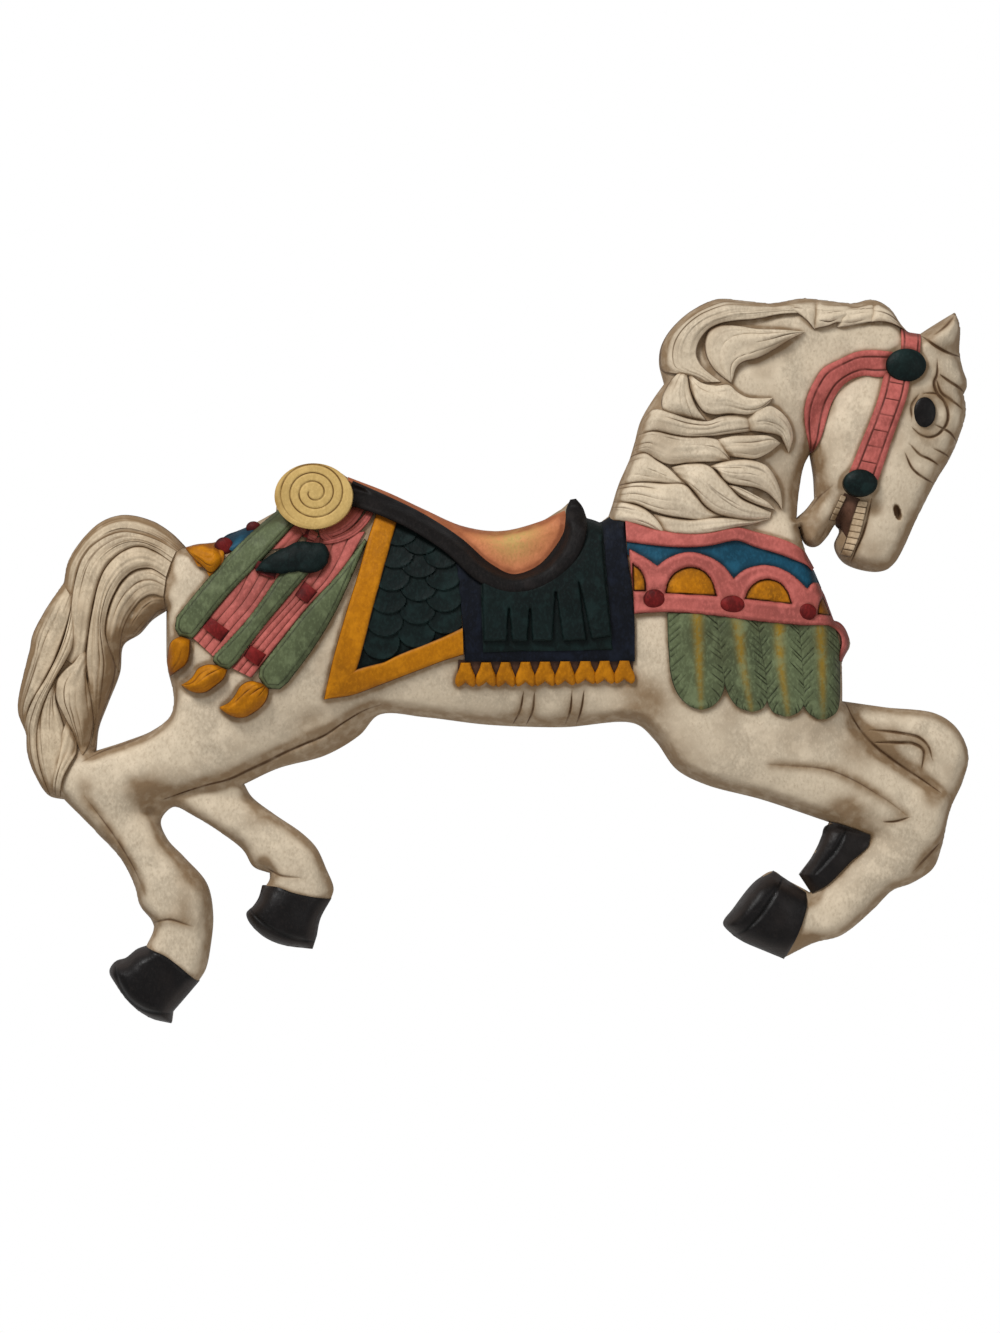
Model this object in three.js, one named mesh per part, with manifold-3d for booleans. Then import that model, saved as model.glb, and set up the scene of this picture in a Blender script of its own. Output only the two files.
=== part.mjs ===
// A carousel horse carved in half relief, flat at the back, to hang on a wall.
// One closed solid: the horse leaps to the right with its tail, mane, saddle and trappings.
// Carving space: x runs along the horse, y up and z out of the board, in millimetres.
// The finished mesh is turned upright, so that its back lies on the XZ plane and it faces -Y.
import * as THREE from "three";
import { mergeVertices } from "three/addons/utils/BufferGeometryUtils.js";
import Module from "manifold-3d";

const wasm = await Module();
wasm.setup();

// Driving dimensions
const BOARD = 70; // deeper than the highest carving, so nothing is cut off in front
const SINK = 2; // how far a rough form reaches behind the back face before it is planed flat
const SILHOUETTE_STEP = 15; // length of one facet along the sawn edge
const TRIM_STEP = 22; // length of one facet along the edge of a strap or cloth
const FORM_SIDES = 5; // facets over a body or a leg
const LOCK_SIDES = 3; // facets over a lock of hair
const FORM_PACE = 45; // spacing of the sections along a body or a leg
const LOCK_PACE = 30; // and along a lock of hair
const STRAP_PACE = 36; // spacing of the sections along a strap
const STRAP_SECTION = [[1, 0.3], [0.4, 1], [-0.4, 1], [-1, 0.3]]; // across a strap, and share of its relief
const ROUNDING = 0.25; // narrowing of the ends of a form, which reach twice as far past its spine
const FULLNESS = 0.72; // 1 gives a round section, less gives a flatter crown with steeper sides
const LOCK_BRIM = 0.86; // where the rounding of a lock begins, as a share of its height

// How far each layer of the trappings stands above the horse
const RELIEF = {
  hoof: 2.5,
  scale: 4,
  cloth: 3.5,
  pleat: 3,
  leaf: 6,
  sun: 4.5,
  bridle: 3.5,
  rosette: 6,
  stud: 9,
  strap: 6,
  strip: 8,
  fringe: 7,
  border: 5,
  piping: 6.5,
  feather: 6,
};
const SEAT_DEPTH = 27; // height of the hollowed seat above the back
const NOSTRIL = { x: 315.5, y: 78, across: 3.5, along: 6.5, depth: 26 };
const EYE = { x: 337, y: 156.5, across: 8.6, along: 11.5, crown: 44 };

// Smooth runs of the sawn edge. A run starts where the one before it ends, at a corner.
const SILHOUETTE = [
  [[-252, 50], [-264, 62], [-280, 72], [-302, 76], [-320, 71], [-336, 56], [-347, 38], [-350, 22]],
  [[-362, 4], [-374, -18], [-377, -30]],
  [[-383, -55], [-387, -80], [-380, -100]],
  [[-379, -115], [-371, -137], [-362, -149], [-350, -152]],
  [[-325, -177], [-304, -200], [-293, -222], [-289, -237], [-279, -250], [-278, -256], [-284, -270]],
  [[-292, -273], [-301, -280], [-309, -283], [-313, -290], [-308, -300], [-296, -316], [-280, -327],
    [-264, -331]],
  [[-263, -323]],
  [[-254, -312], [-243, -299]],
  [[-237, -289], [-233, -270], [-231, -245], [-236, -220], [-254, -199], [-268, -184], [-273, -169],
    [-262, -158],
    [-246, -165], [-222, -180], [-206, -193], [-198, -206], [-185, -211]],
  [[-185, -216], [-190, -224]],
  [[-193, -232], [-198, -238]],
  [[-203, -243], [-201, -250], [-190, -261], [-175, -268], [-151, -271]],
  [[-148, -262], [-145, -248], [-136, -232]],
  [[-134, -224], [-140, -208], [-148, -191], [-160, -179], [-182, -164], [-200, -150], [-206, -140]],
  [[-178, -127], [-140, -116.5], [-113, -100.5], [-97, -84], [-60, -86], [-10, -92], [50, -94], [108, -91],
    [125, -105], [142, -128], [165, -140], [210, -152], [265, -170.5]],
  [[253, -195], [243, -212]],
  [[250, -227], [246, -225]],
  [[229, -216]],
  [[220, -210], [206, -218], [188, -240], [180, -252], [188, -261]],
  [[196, -266], [210, -272], [228, -279]],
  [[252, -267], [274, -261], [300, -240], [315, -225], [331, -219], [348, -207], [354.5, -190], [361, -161],
    [371.5, -137.5], [376, -116], [367, -95], [350, -83], [310, -78], [275, -73]],
  [[274, -40]],
  [[281, -28], [277.6, -17], [268, -10]],
  [[254, 24], [245, 47], [240, 66]],
  [[246, 53], [254, 51], [262, 58], [270, 69], [273, 64], [269, 52], [277, 38], [305, 31], [316, 37],
    [336, 77],
    [350, 104], [361, 122], [369, 141], [374, 160], [372, 173]],
  [[375, 181], [369, 206], [369, 228], [365, 239]],
  [[350, 230], [336, 221]],
  [[326, 223], [311, 243], [298, 249], [283, 246], [262, 248], [243, 250], [218, 246], [195, 248],
    [172, 249],
    [148, 236], [131, 216], [128, 200], [132, 182]],
  [[122, 168], [113, 152], [106, 126], [95, 100], [88, 76]],
  [[80, 70]],
  [[70, 73]],
  [[66, 83], [60, 89], [49, 81]],
  [[30, 70], [0, 63], [-30, 67], [-60, 80], [-90, 94], [-123, 107]],
  [[-131, 112], [-148, 116], [-165, 112], [-177, 101], [-180, 79]],
  [[-204, 66], [-228, 54]],
];

// Gaps sawn right through: between tail and thigh, and between throat and jaw
const GAPS = [
  [
    [[-268, 0], [-280, -8], [-290, -19], [-303, -28], [-306, -50], [-316, -76], [-323, -95], [-325, -113]],
    [[-300, -105], [-278, -96], [-264, -84], [-262, -68], [-267, -45], [-268, 0]],
  ],
  [
    [[249, 126], [244, 116], [240, 95], [238, 74]],
    [[246, 81], [253, 90]],
    [[252, 108], [249, 126]],
  ],
];

// Rounded forms along a spine. Each station is x, y, half width, height of the crown.
const FORMS = {
  barrel: [[-228, 5, 78, 38], [-165, -5, 91, 44], [-110, 0, 95, 46], [-20, -8, 86, 46], [60, -8, 90, 46],
    [110, -10, 88, 45], [165, -35, 96, 46], [222, -50, 62, 43]],
  croup: [[-252, 36, 24, 28], [-246, 0, 28, 35], [-240, -42, 30, 38], [-247, -84, 20, 34]],
  nearThigh: [[-185, -30, 82, 46], [-231, -98, 47, 42], [-270, -121, 33, 36], [-312, -136, 33, 33]],
  nearHindCannon: [[-336, -136, 36, 32], [-306, -174, 30, 30], [-278, -203, 27, 30], [-262, -230, 32, 32],
    [-256, -253, 27, 29], [-266, -284, 38, 30], [-284, -306, 40, 33]],
  farThigh: [[-105, -58, 30, 32], [-160, -90, 34, 31], [-212, -126, 30, 27]],
  farHindCannon: [[-250, -152, 36, 24], [-199, -173, 22, 24], [-180, -188, 27, 25], [-163, -210, 30, 25],
    [-165, -232, 33, 24], [-174, -250, 33, 27], [-178, -262, 30, 27]],
  shoulder: [[150, -52, 84, 46], [200, -84, 74, 47], [225, -104, 58, 46], [255, -125, 47, 43],
    [283, -141, 38, 40],
    [312, -154, 33, 37], [334, -164, 28, 35]],
  nearForeCannon: [[342, -164, 28, 34], [317, -196, 28, 32], [292, -218, 22, 29], [275, -235, 22, 29],
    [259, -247, 24, 29], [238, -250, 32, 29], [216, -246, 36, 31], [196, -238, 34, 32]],
  farForearm: [[266, -106, 38, 24], [300, -102, 30, 24], [335, -108, 34, 25], [350, -118, 36, 26]],
  farForeCannon: [[352, -116, 32, 25], [346, -160, 22, 22], [336, -195, 20, 20], [322, -210, 14, 18]],
  farForeWeb: [[305, -120, 24, 15], [335, -128, 20, 15]],
  farForeHoof: [[300, -182, 22, 19], [272, -198, 32, 20], [254, -208, 26, 20]],
  neck: [[165, 0, 96, 42], [165, 60, 82, 38], [170, 105, 76, 36], [186, 150, 70, 36], [214, 186, 60, 36],
    [262, 208, 46, 36], [305, 208, 38, 36]],
  crest: [[92, 66, 18, 24], [112, 112, 24, 28], [130, 156, 26, 28], [150, 200, 36, 30], [176, 224, 30, 32],
    [230, 226, 28, 33], [300, 222, 30, 33]],
  chest: [[225, 40, 42, 36], [238, -20, 46, 40], [240, -75, 46, 42]],
  head: [[330, 202, 44, 36], [324, 162, 62, 41], [305, 126, 65, 41], [309, 95, 44, 37], [302, 68, 36, 34],
    [294, 48, 33, 31]],
  lowerJaw: [[280, 106, 17, 30], [263, 84, 16, 26], [251, 62, 16, 25]],
  mouth: [[284, 92, 9, 18], [277, 74, 8, 13], [272, 66, 6, 12]],
  ear: [[340, 208, 17, 34], [356, 222, 14, 38], [368, 240, 8, 34]],
  tail: [[-258, 28, 34, 30], [-290, 38, 46, 30], [-318, 12, 48, 29], [-339, -28, 40, 28],
    [-347, -64, 42, 28],
    [-353, -95, 36, 27], [-354, -120, 30, 25], [-358, -142, 18, 20]],
};

// Locks of hair: x, y, half width along each lock, and the height of its crown above the back
const MANE = [
  { crown: 43, lock: [[236, 237, 9], [205, 236, 12], [178, 234, 14], [156, 222, 17], [145, 203, 17],
    [152, 188, 13], [168, 180, 8], [183, 181, 2]] },
  { crown: 41, lock: [[236, 220, 2], [212, 219, 6], [188, 217, 8], [170, 213, 6]] },
  { crown: 42, lock: [[236, 219, 2], [212, 207, 7], [190, 201, 10], [176, 198, 9], [184, 184, 2]] },
  { crown: 40, lock: [[222, 241, 8], [236, 236, 9], [247, 225, 2]] },
  { crown: 40, lock: [[246, 242, 8], [262, 237, 9], [273, 227, 2]] },
  { crown: 40, lock: [[268, 240, 8], [286, 239, 9], [299, 232, 3]] },
  { crown: 41, lock: [[288, 243, 7], [302, 239, 9], [316, 230, 6], [325, 222, 2]] },
  { crown: 42, lock: [[144, 188, 3], [138, 171, 11], [148, 162, 9], [165, 152, 2]] },
  { crown: 40, lock: [[149, 188, 4], [157, 174, 6], [163, 158, 4]] },
  { crown: 43, lock: [[160, 177, 7], [176, 168, 10], [194, 162, 8], [208, 164, 5], [215, 170, 1]] },
  { crown: 41, lock: [[110, 150, 9], [134, 148, 9], [160, 145, 8], [184, 147, 8], [198, 147, 6]] },
  { crown: 42, lock: [[200, 148, 6], [214, 151, 9], [226, 145, 8], [231, 134, 4], [230, 126, 1]] },
  { crown: 40, lock: [[102, 128, 9], [128, 130, 11], [154, 128, 10], [172, 124, 8], [183, 118, 2]] },
  { crown: 42, lock: [[170, 135, 3], [188, 130, 8], [204, 128, 8], [222, 134, 1]] },
  { crown: 41, lock: [[96, 106, 9], [113, 115, 9], [127, 110, 8], [142, 100, 3]] },
  { crown: 44, lock: [[138, 113, 4], [152, 107, 9], [167, 95, 11], [186, 83, 10], [203, 77, 7],
    [215, 73, 1]] },
  { crown: 43, lock: [[166, 115, 2], [185, 110, 8], [203, 104, 10], [216, 94, 7], [224, 81, 1]] },
  { crown: 41, lock: [[183, 98, 2], [198, 92, 6], [217, 80, 1]] },
  { crown: 42, lock: [[86, 88, 9], [113, 93, 10], [138, 88, 11], [158, 80, 8], [175, 75, 1]] },
  { crown: 44, lock: [[84, 78, 7], [105, 78, 7], [118, 71, 6], [129, 62, 3]] },
  { crown: 40, lock: [[126, 70, 3], [146, 67, 5], [172, 67, 5], [196, 69, 4], [213, 73, 1]] },
];
const TAIL = [
  { crown: 33, lock: [[-268, 58, 8], [-290, 68, 9], [-315, 64, 9], [-335, 48, 9], [-346, 26, 8],
    [-344, 12, 4]] },
  { crown: 34, lock: [[-272, 52, 7], [-296, 55, 8], [-317, 45, 8], [-330, 26, 9], [-335, 2, 8],
    [-337, -22, 4]] },
  { crown: 35, lock: [[-270, 42, 7], [-292, 40, 8], [-309, 26, 8], [-320, 4, 8], [-324, -22, 8],
    [-322, -48, 6], [-317, -72, 2]] },
  { crown: 32, lock: [[-276, 30, 7], [-290, 18, 8], [-300, 0, 9], [-308, -20, 8], [-309, -44, 3]] },
  { crown: 33, lock: [[-270, 24, 6], [-278, 10, 7], [-286, -4, 6], [-292, -18, 3]] },
  { crown: 34, lock: [[-347, 14, 4], [-356, -4, 9], [-364, -28, 10], [-372, -54, 9], [-379, -82, 6],
    [-381, -96, 2]] },
  { crown: 34, lock: [[-348, -4, 4], [-352, -30, 9], [-356, -48, 9], [-366, -68, 7], [-372, -92, 7],
    [-373, -118, 6], [-364, -144, 3]] },
  { crown: 35, lock: [[-340, -24, 5], [-341, -44, 9], [-344, -64, 10], [-339, -84, 9],
    [-333, -104, 6], [-330, -116, 3]] },
  { crown: 33, lock: [[-331, -40, 4], [-322, -66, 7], [-326, -84, 7], [-327, -104, 4]] },
  { crown: 33, lock: [[-358, -66, 4], [-358, -88, 9], [-352, -108, 10], [-348, -124, 5]] },
  { crown: 32, lock: [[-366, -100, 4], [-364, -120, 7], [-358, -138, 6], [-354, -148, 3]] },
];
const TASSELS = [
  { crown: 46, lock: [[-249, -24, 5], [-253, -34, 9], [-259, -43, 7], [-265, -53, 1]] },
  { crown: 47, lock: [[-219, -46, 4], [-229, -52, 8], [-240, -57, 7], [-254, -61, 1]] },
  { crown: 47, lock: [[-186, -60, 5], [-193, -69, 10], [-206, -77, 8], [-223, -79, 1]] },
  { crown: 40, lock: [[-219, 42, 6], [-229, 43, 10], [-240, 46, 7], [-252, 50, 2]] },
];

// Cloth, leather and horn: the relief of each and the smooth runs of its edge
const PLATES = {
  hoof: [
    [[[-283, -270], [-262, -279], [-242, -298]], [[-262, -340], [-330, -290], [-283, -270]]],
    [[[-190, -221], [-164, -225], [-135, -231]], [[-135, -280], [-215, -260], [-190, -221]]],
    [[[245, -233], [241, -252], [228, -281]], [[175, -268], [175, -236], [208, -212]], [[226, -213],
      [245, -233]]],
    [[[296, -182], [250, -227]], [[230, -210], [262, -165], [296, -182]]],
  ],
  cloth: [
    [[[-34, 45], [-31, 0], [-28, -41]], [[107, -41]], [[105, 10], [99, 76]], [[60, 76]], [[20, 20],
      [-34, 45]]],
  ],
  pleat: [
    [[[-189, 42], [-220, 10], [-243, -21]], [[-228, -33]], [[-202, 0], [-176, 30]], [[-189, 42]]],
    [[[-133, 62], [-148, 24], [-162, 11], [-186, -15], [-210, -46]], [[-197, -54]], [[-172, -21],
      [-121, 50]],
      [[-133, 62]]],
    [[[-204, 66], [-232, 48]], [[-219, 34]], [[-190, 55]], [[-204, 66]]],
  ],
  leaf: [
    [[[-196, 33], [-180, 47], [-158, 54], [-136, 48]], [[-138, 38], [-150, 30], [-174, 29], [-196, 33]]],
  ],
};

// Straps, piping and reins of changing width: x, y, half width along each
const BANDS = {
  strip: [
    [[-1, 12, 5], [-3, -8, 8], [-4, -25, 9]],
    [[16, 10, 4], [16, -25, 7]],
    [[35, 14, 5], [35, -25, 8]],
    [[53, 20, 5], [57, -25, 7]],
    [[70, 26, 5], [76, -4, 8], [80, -23, 9]],
  ],
  border: [
    [[-90, 72, 7], [-102, 30, 8], [-116, -12, 8], [-128, -60, 9]],
    [[-126, -61, 9], [-98, -52, 10], [-56, -36, 10], [-31, -26, 9]],
  ],
  strap: [
    [[-172, 76, 12], [-198, 44, 10], [-250, -18, 9]],
    [[-160, 29, 11], [-190, -4, 10], [-219, -41, 10]],
    [[-108, 55, 5], [-134, 18, 11], [-160, -14, 12], [-184, -57, 9]],
    [[-134, 58, 6], [-118, 66, 6], [-109, 79, 5]],
  ],
  piping: [
    [[99, 63, 8], [134, 56, 6], [160, 55, 5.5], [188, 60, 5], [220, 51, 7], [250, 36, 4]],
    [[107, 6, 8], [150, 4, 8], [190, 1, 7], [232, -4, 7], [262, -5, 7], [276, -18, 3], [278, -34, 3],
      [274, -40, 2]],
    [[98, 43, 6], [110, 39, 6], [122, 26, 6], [127, 8, 6]],
    [[124, 8, 6], [131, 26, 6], [149, 39, 6], [168, 33, 6], [180, 8, 6]],
    [[180, 8, 6], [193, 22, 5], [211, 30, 5], [230, 24, 5], [240, 4, 5]],
    [[245, 2, 4], [247, 14, 4], [254, 17, 4], [264, 2, 4]],
  ],
  bridle: [
    [[309, 195, 9], [285, 194, 9], [264, 182, 9], [253, 163, 8], [250, 146, 7], [253, 126, 3]],
    [[316, 183, 10], [307, 155, 11], [295, 124, 11], [288, 106, 11]],
  ],
  feather: [
    [[153, -4, 20], [155, -40, 20], [160, -62, 17], [163, -78, 8]],
    [[187, -6, 17], [191, -40, 18], [197, -64, 16], [202, -80, 7]],
    [[219, -8, 17], [222, -40, 18], [226, -68, 15], [229, -84, 7]],
    [[251, -10, 15], [253, -40, 16], [256, -68, 15], [259, -87, 8]],
  ],
};

// The rim of the saddle, from the cantle down round the seat and up to the pommel, and its height
const RIM = { crown: 50, lock: [[-118, 93, 9], [-95, 84, 8], [-66, 70, 8], [-37, 51, 8], [-12, 29, 9],
  [10, 20, 8],
  [34, 27, 9], [52, 45, 9], [60, 66, 9], [58, 92, 8]] };

// Rosettes and studs: x, y, half width, half height
const BOSSES = {
  rosette: [[322, 194, 16, 13], [286, 100, 14, 11]],
  stud: [[122, 8, 8.5, 7.5], [184, 4, 9, 6.5], [244, -2, 7, 6.5]],
};

// Gold discs under the arches of the collar: x, y, radius
const SUNS = [[151, 12, 21], [213, 7, 18], [259, 0, 10]];
const FRINGE = { from: -33, to: 107, lobes: 9, topLeft: -43, topRight: -40, drop: 19, narrow: 4, wide: 7.4 };
const SCALES = { columns: [-88, -65, -43], pitch: 19, rows: 5, top: 58, half: 12, tall: 20 };
const BEDROLL = { x: -148, y: 89.5, across: 32, along: 27, crown: 52, turns: 3.1, pitch: 7.6,
  cord: 1.6, rise: 2 };
const TEETH = { edge: [[289, 88], [285, 72], [281, 58], [274, 41]], half: 4, crown: 33, count: 6 };

// Curves and outlines

function spline(points) {
  const stops = points.map(([x, y, z = 0]) => new THREE.Vector3(x, y, z));
  return new THREE.CatmullRomCurve3(stops, false, "centripetal");
}

// Joins smooth runs into one closed outline, with a corner where two runs meet.
function outline(runs, step) {
  const edge = [];
  let start = [];
  for (const run of runs) {
    const curve = spline([...start, ...run]);
    const facets = Math.max(1, Math.round(curve.getLength() / step));
    edge.push(...curve.getSpacedPoints(facets).slice(start.length ? 1 : 0));
    start = [run.at(-1)];
  }
  const closes = edge[0].distanceTo(edge.at(-1)) < 1e-6;
  return (closes ? edge.slice(0, -1) : edge).map(({ x, y }) => new THREE.Vector2(x, y));
}

// A band of changing width along a centre line: x, y, half width.
function band(stations, step = TRIM_STEP) {
  const line = spline(stations.map(([x, y]) => [x, y]));
  const width = spline(stations.map(([, , half]) => [half, 0]));
  const count = Math.max(1, Math.round(line.getLength() / step));
  const left = [];
  const right = [];
  for (let i = 0; i <= count; i++) {
    const at = line.getPoint(i / count);
    const along = line.getTangent(i / count);
    const half = width.getPoint(i / count).x;
    left.push(new THREE.Vector2(at.x - along.y * half, at.y + along.x * half));
    right.push(new THREE.Vector2(at.x + along.y * half, at.y - along.x * half));
  }
  return [...left, ...right.reverse()];
}

function oval(x, y, halfWidth, halfHeight, sides = 12) {
  return new THREE.EllipseCurve(x, y, halfWidth, halfHeight).getPoints(sides).slice(0, -1);
}

// Solids

function solid(geometry) {
  geometry.deleteAttribute("normal");
  geometry.deleteAttribute("uv");
  const merged = mergeVertices(geometry, 1e-3);
  const mesh = new wasm.Mesh({
    numProp: 3,
    vertProperties: merged.attributes.position.array,
    triVerts: new Uint32Array(merged.index.array),
  });
  return new wasm.Manifold(mesh);
}

// A plain block with the given outline, from one height above the back to another.
function block(edge, { holes = [], from = 0, to = BOARD } = {}) {
  const shape = new THREE.Shape(edge);
  shape.holes = holes.map((hole) => new THREE.Path(hole));
  const geometry = new THREE.ExtrudeGeometry(shape, { depth: to - from, bevelEnabled: false });
  return solid(geometry.translate(0, 0, from));
}

// A rounded form lofted along its spine. Its walls stand upright to the brim, a share of the crown.
// lift raises the whole surface, for what lies on the form.
function form(stations, { sides, pace, brim = 0, lift = 0, rounded = true }) {
  const line = spline(stations.map(([x, y]) => [x, y]));
  const size = spline(stations.map(([, , half, crown]) => [half, crown]));
  const count = Math.max(stations.length - 1, Math.round(line.getLength() / pace));
  const rings = [];
  const ring = (t, shrink, reach) => {
    const along = line.getTangent(t);
    const { x: half, y: crown } = size.getPoint(t);
    const at = line.getPoint(t).addScaledVector(along, reach * half);
    const points = [];
    for (let k = 0; k <= sides; k++) {
      const angle = (Math.PI * k) / sides;
      const out = half * shrink * Math.cos(angle);
      const swell = k % sides ? Math.sin(angle) ** FULLNESS : 0;
      const rise = crown * shrink ** 0.5 * (brim + (1 - brim) * swell);
      points.push([at.x - along.y * out, at.y + along.x * out, rise + lift]);
    }
    const [first, last] = [points[0], points.at(-1)];
    points.push([last[0], last[1], -SINK], [first[0], first[1], -SINK]);
    rings.push(points);
  };
  const tip = rounded ? ROUNDING : 0;
  ring(0, 1 - tip, -2 * tip);
  for (let i = 1; i < count; i++) ring(i / count, 1, 0);
  ring(1, 1 - tip, 2 * tip);
  return skin(rings);
}

// Closes a row of rings with the same number of points into a solid.
function skin(rings) {
  const around = rings[0].length;
  const index = [];
  for (let i = 0; i + 1 < rings.length; i++)
    for (let k = 0; k < around; k++) {
      const a = i * around + k;
      const b = i * around + ((k + 1) % around);
      index.push(a, b, a + around, b, b + around, a + around);
    }
  const last = (rings.length - 1) * around;
  for (let k = 1; k + 1 < around; k++) {
    index.push(0, k + 1, k);
    index.push(last, last + k, last + k + 1);
  }
  const geometry = new THREE.BufferGeometry();
  geometry.setAttribute("position", new THREE.Float32BufferAttribute(rings.flat(2), 3));
  return solid(geometry.setIndex(index));
}

const raised = new Map();

// The bare horse with its whole surface raised, kept for the next piece of the same thickness.
function bareHorse(lift) {
  const made = () => Object.values(FORMS).map((stations) =>
    form(stations, { sides: FORM_SIDES, pace: FORM_PACE, lift }));
  if (!raised.has(lift)) raised.set(lift, wasm.Manifold.union(made()));
  return raised.get(lift);
}

// Cloth or leather that lies on the horse and follows its surface.
const applied = (edge, relief) => bareHorse(relief).intersect(block(edge));

const locks = (hair) => hair.map(({ crown, lock }) => {
  const stations = lock.map(([x, y, half]) => [x, y, half, crown]);
  return form(stations, { sides: LOCK_SIDES, pace: LOCK_PACE, brim: LOCK_BRIM, rounded: false });
});

// Trappings

const feeler = new THREE.Raycaster();
const bare = new THREE.Mesh(surface(bareHorse(0)), new THREE.MeshBasicMaterial({ side: THREE.DoubleSide }));

// Height of the bare horse above its back.
function heightAt(x, y) {
  feeler.set(new THREE.Vector3(x, y, BOARD), new THREE.Vector3(0, 0, -1));
  const [hit] = feeler.intersectObject(bare);
  return hit ? BOARD - hit.distance : 0;
}

// A strap that lies on the horse, thickest along its middle.
function draped(stations, relief) {
  const line = spline(stations.map(([x, y]) => [x, y]));
  const width = spline(stations.map(([, , half]) => [half, 0]));
  const count = Math.max(1, Math.round(line.getLength() / STRAP_PACE));
  const rings = [];
  for (let i = 0; i <= count; i++) {
    const at = line.getPoint(i / count);
    const along = line.getTangent(i / count);
    const half = width.getPoint(i / count).x;
    const points = STRAP_SECTION.map(([across, share]) => {
      const [x, y] = [at.x - along.y * half * across, at.y + along.x * half * across];
      return [x, y, heightAt(x, y) + relief * share];
    });
    const [first, last] = [points[0], points.at(-1)];
    points.push([last[0], last[1], -SINK], [first[0], first[1], -SINK]);
    rings.push(points);
  }
  return skin(rings);
}

function plates() {
  return Object.entries(PLATES).flatMap(([name, edges]) =>
    edges.map((runs) => applied(outline(runs, TRIM_STEP), RELIEF[name])));
}

function bands() {
  return Object.entries(BANDS).flatMap(([name, lines]) =>
    lines.map((stations) => draped(stations, RELIEF[name])));
}

function bosses() {
  return Object.entries(BOSSES).flatMap(([name, list]) =>
    list.map(([x, y, across, along]) => applied(oval(x, y, across, along), RELIEF[name])));
}

// Half discs, seen under the arches of the collar.
function suns() {
  return SUNS.map(([x, y, radius]) => {
    const edge = new THREE.EllipseCurve(x, y, radius, radius, 0, Math.PI).getPoints(8);
    return applied(edge, RELIEF.sun);
  });
}

// A row of tufts, narrow at the top and wide at the bottom.
function fringe() {
  const { from, to, lobes: count, topLeft, topRight, drop, narrow, wide } = FRINGE;
  return Array.from({ length: count }, (_, i) => {
    const x = from + ((i + 0.5) * (to - from)) / count;
    const top = topLeft + ((topRight - topLeft) * i) / (count - 1);
    return draped([[x, top, narrow], [x, top - drop / 2, wide * 0.8], [x, top - drop, wide]], RELIEF.fringe);
  });
}

// Rounded scales in columns, every second column half a scale lower.
function scales() {
  const { columns, pitch, rows, top, half, tall } = SCALES;
  return columns.flatMap((x, column) => Array.from({ length: rows }, (_, row) => {
    const high = top - row * pitch - (column % 2 ? pitch / 2 : 0);
    const edge = [[[x - half * 0.8, high], [x - half * 0.6, high - tall * 0.75], [x, high - tall],
      [x + half * 0.6, high - tall * 0.75], [x + half * 0.8, high]]];
    return applied(outline(edge, tall / 2), RELIEF.scale);
  }));
}

// A rolled blanket seen from its end, with the edge of the cloth winding in to the middle.
function bedroll() {
  const { x, y, across, along, crown, turns, pitch, cord, rise } = BEDROLL;
  const winding = [];
  for (let turn = 0; turn <= turns; turn += 1 / 6) {
    const angle = Math.PI * (1 - 2 * turn);
    const reach = turn * pitch;
    winding.push([x + 1 + reach * Math.cos(angle), y + 2 - reach * 0.85 * Math.sin(angle), cord / 2]);
  }
  return [block(oval(x, y, across, along, 20), { to: crown }),
    block(band(winding, pitch * 1.2), { from: crown - 1, to: crown + rise })];
}

function eye() {
  const { x, y, across, along, crown } = EYE;
  return block(oval(x, y, across, along, 12), { to: crown });
}

function teeth() {
  const { edge, half, crown, count } = TEETH;
  const line = spline(edge);
  return Array.from({ length: count }, (_, i) => {
    const ends = [line.getPointAt((i + 0.08) / count), line.getPointAt((i + 0.92) / count)];
    return block(band(ends.map(({ x, y }) => [x, y, half])), { to: crown });
  });
}

// The hollow of the seat, above and inside the rim of the saddle.
function seatEdge() {
  const rim = RIM.lock.map(([x, y]) => [x, y]);
  return outline([rim, [[40, 110]], [[-140, 118]], [rim[0]]], TRIM_STEP);
}

// Back to a three.js surface.
function surface(made) {
  const { vertProperties, triVerts } = made.getMesh();
  const geometry = new THREE.BufferGeometry();
  geometry.setAttribute("position", new THREE.BufferAttribute(vertProperties, 3));
  return geometry.setIndex(new THREE.BufferAttribute(triVerts, 1));
}

// The horse

const seat = seatEdge();
const nostril = oval(NOSTRIL.x, NOSTRIL.y, NOSTRIL.across, NOSTRIL.along, 8);
const ground = bareHorse(0)
  .subtract(block(seat, { from: SEAT_DEPTH }))
  .subtract(block(nostril, { from: NOSTRIL.depth }));

const trappings = [...plates(), ...bands(), ...bosses(), ...suns(), ...fringe(), ...scales(), ...bedroll()];
const hair = [MANE, TAIL, TASSELS].flatMap(locks);
const rough = wasm.Manifold.union([
  ground,
  block(seat, { to: SEAT_DEPTH }),
  ...locks([RIM]),
  ...trappings,
  ...hair,
  ...teeth(),
  eye(),
]);
const board = block(outline(SILHOUETTE, SILHOUETTE_STEP), {
  holes: GAPS.map((gap) => outline(gap, SILHOUETTE_STEP)),
});

const paint = new THREE.MeshStandardMaterial({ color: 0xd1c7b4, roughness: 0.55, metalness: 0 });
const horse = new THREE.Mesh(surface(rough.intersect(board)), paint);
horse.name = "horse";
horse.rotation.x = Math.PI / 2;

const group = new THREE.Group();
group.add(horse);
export default group;
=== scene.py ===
import math

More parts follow.
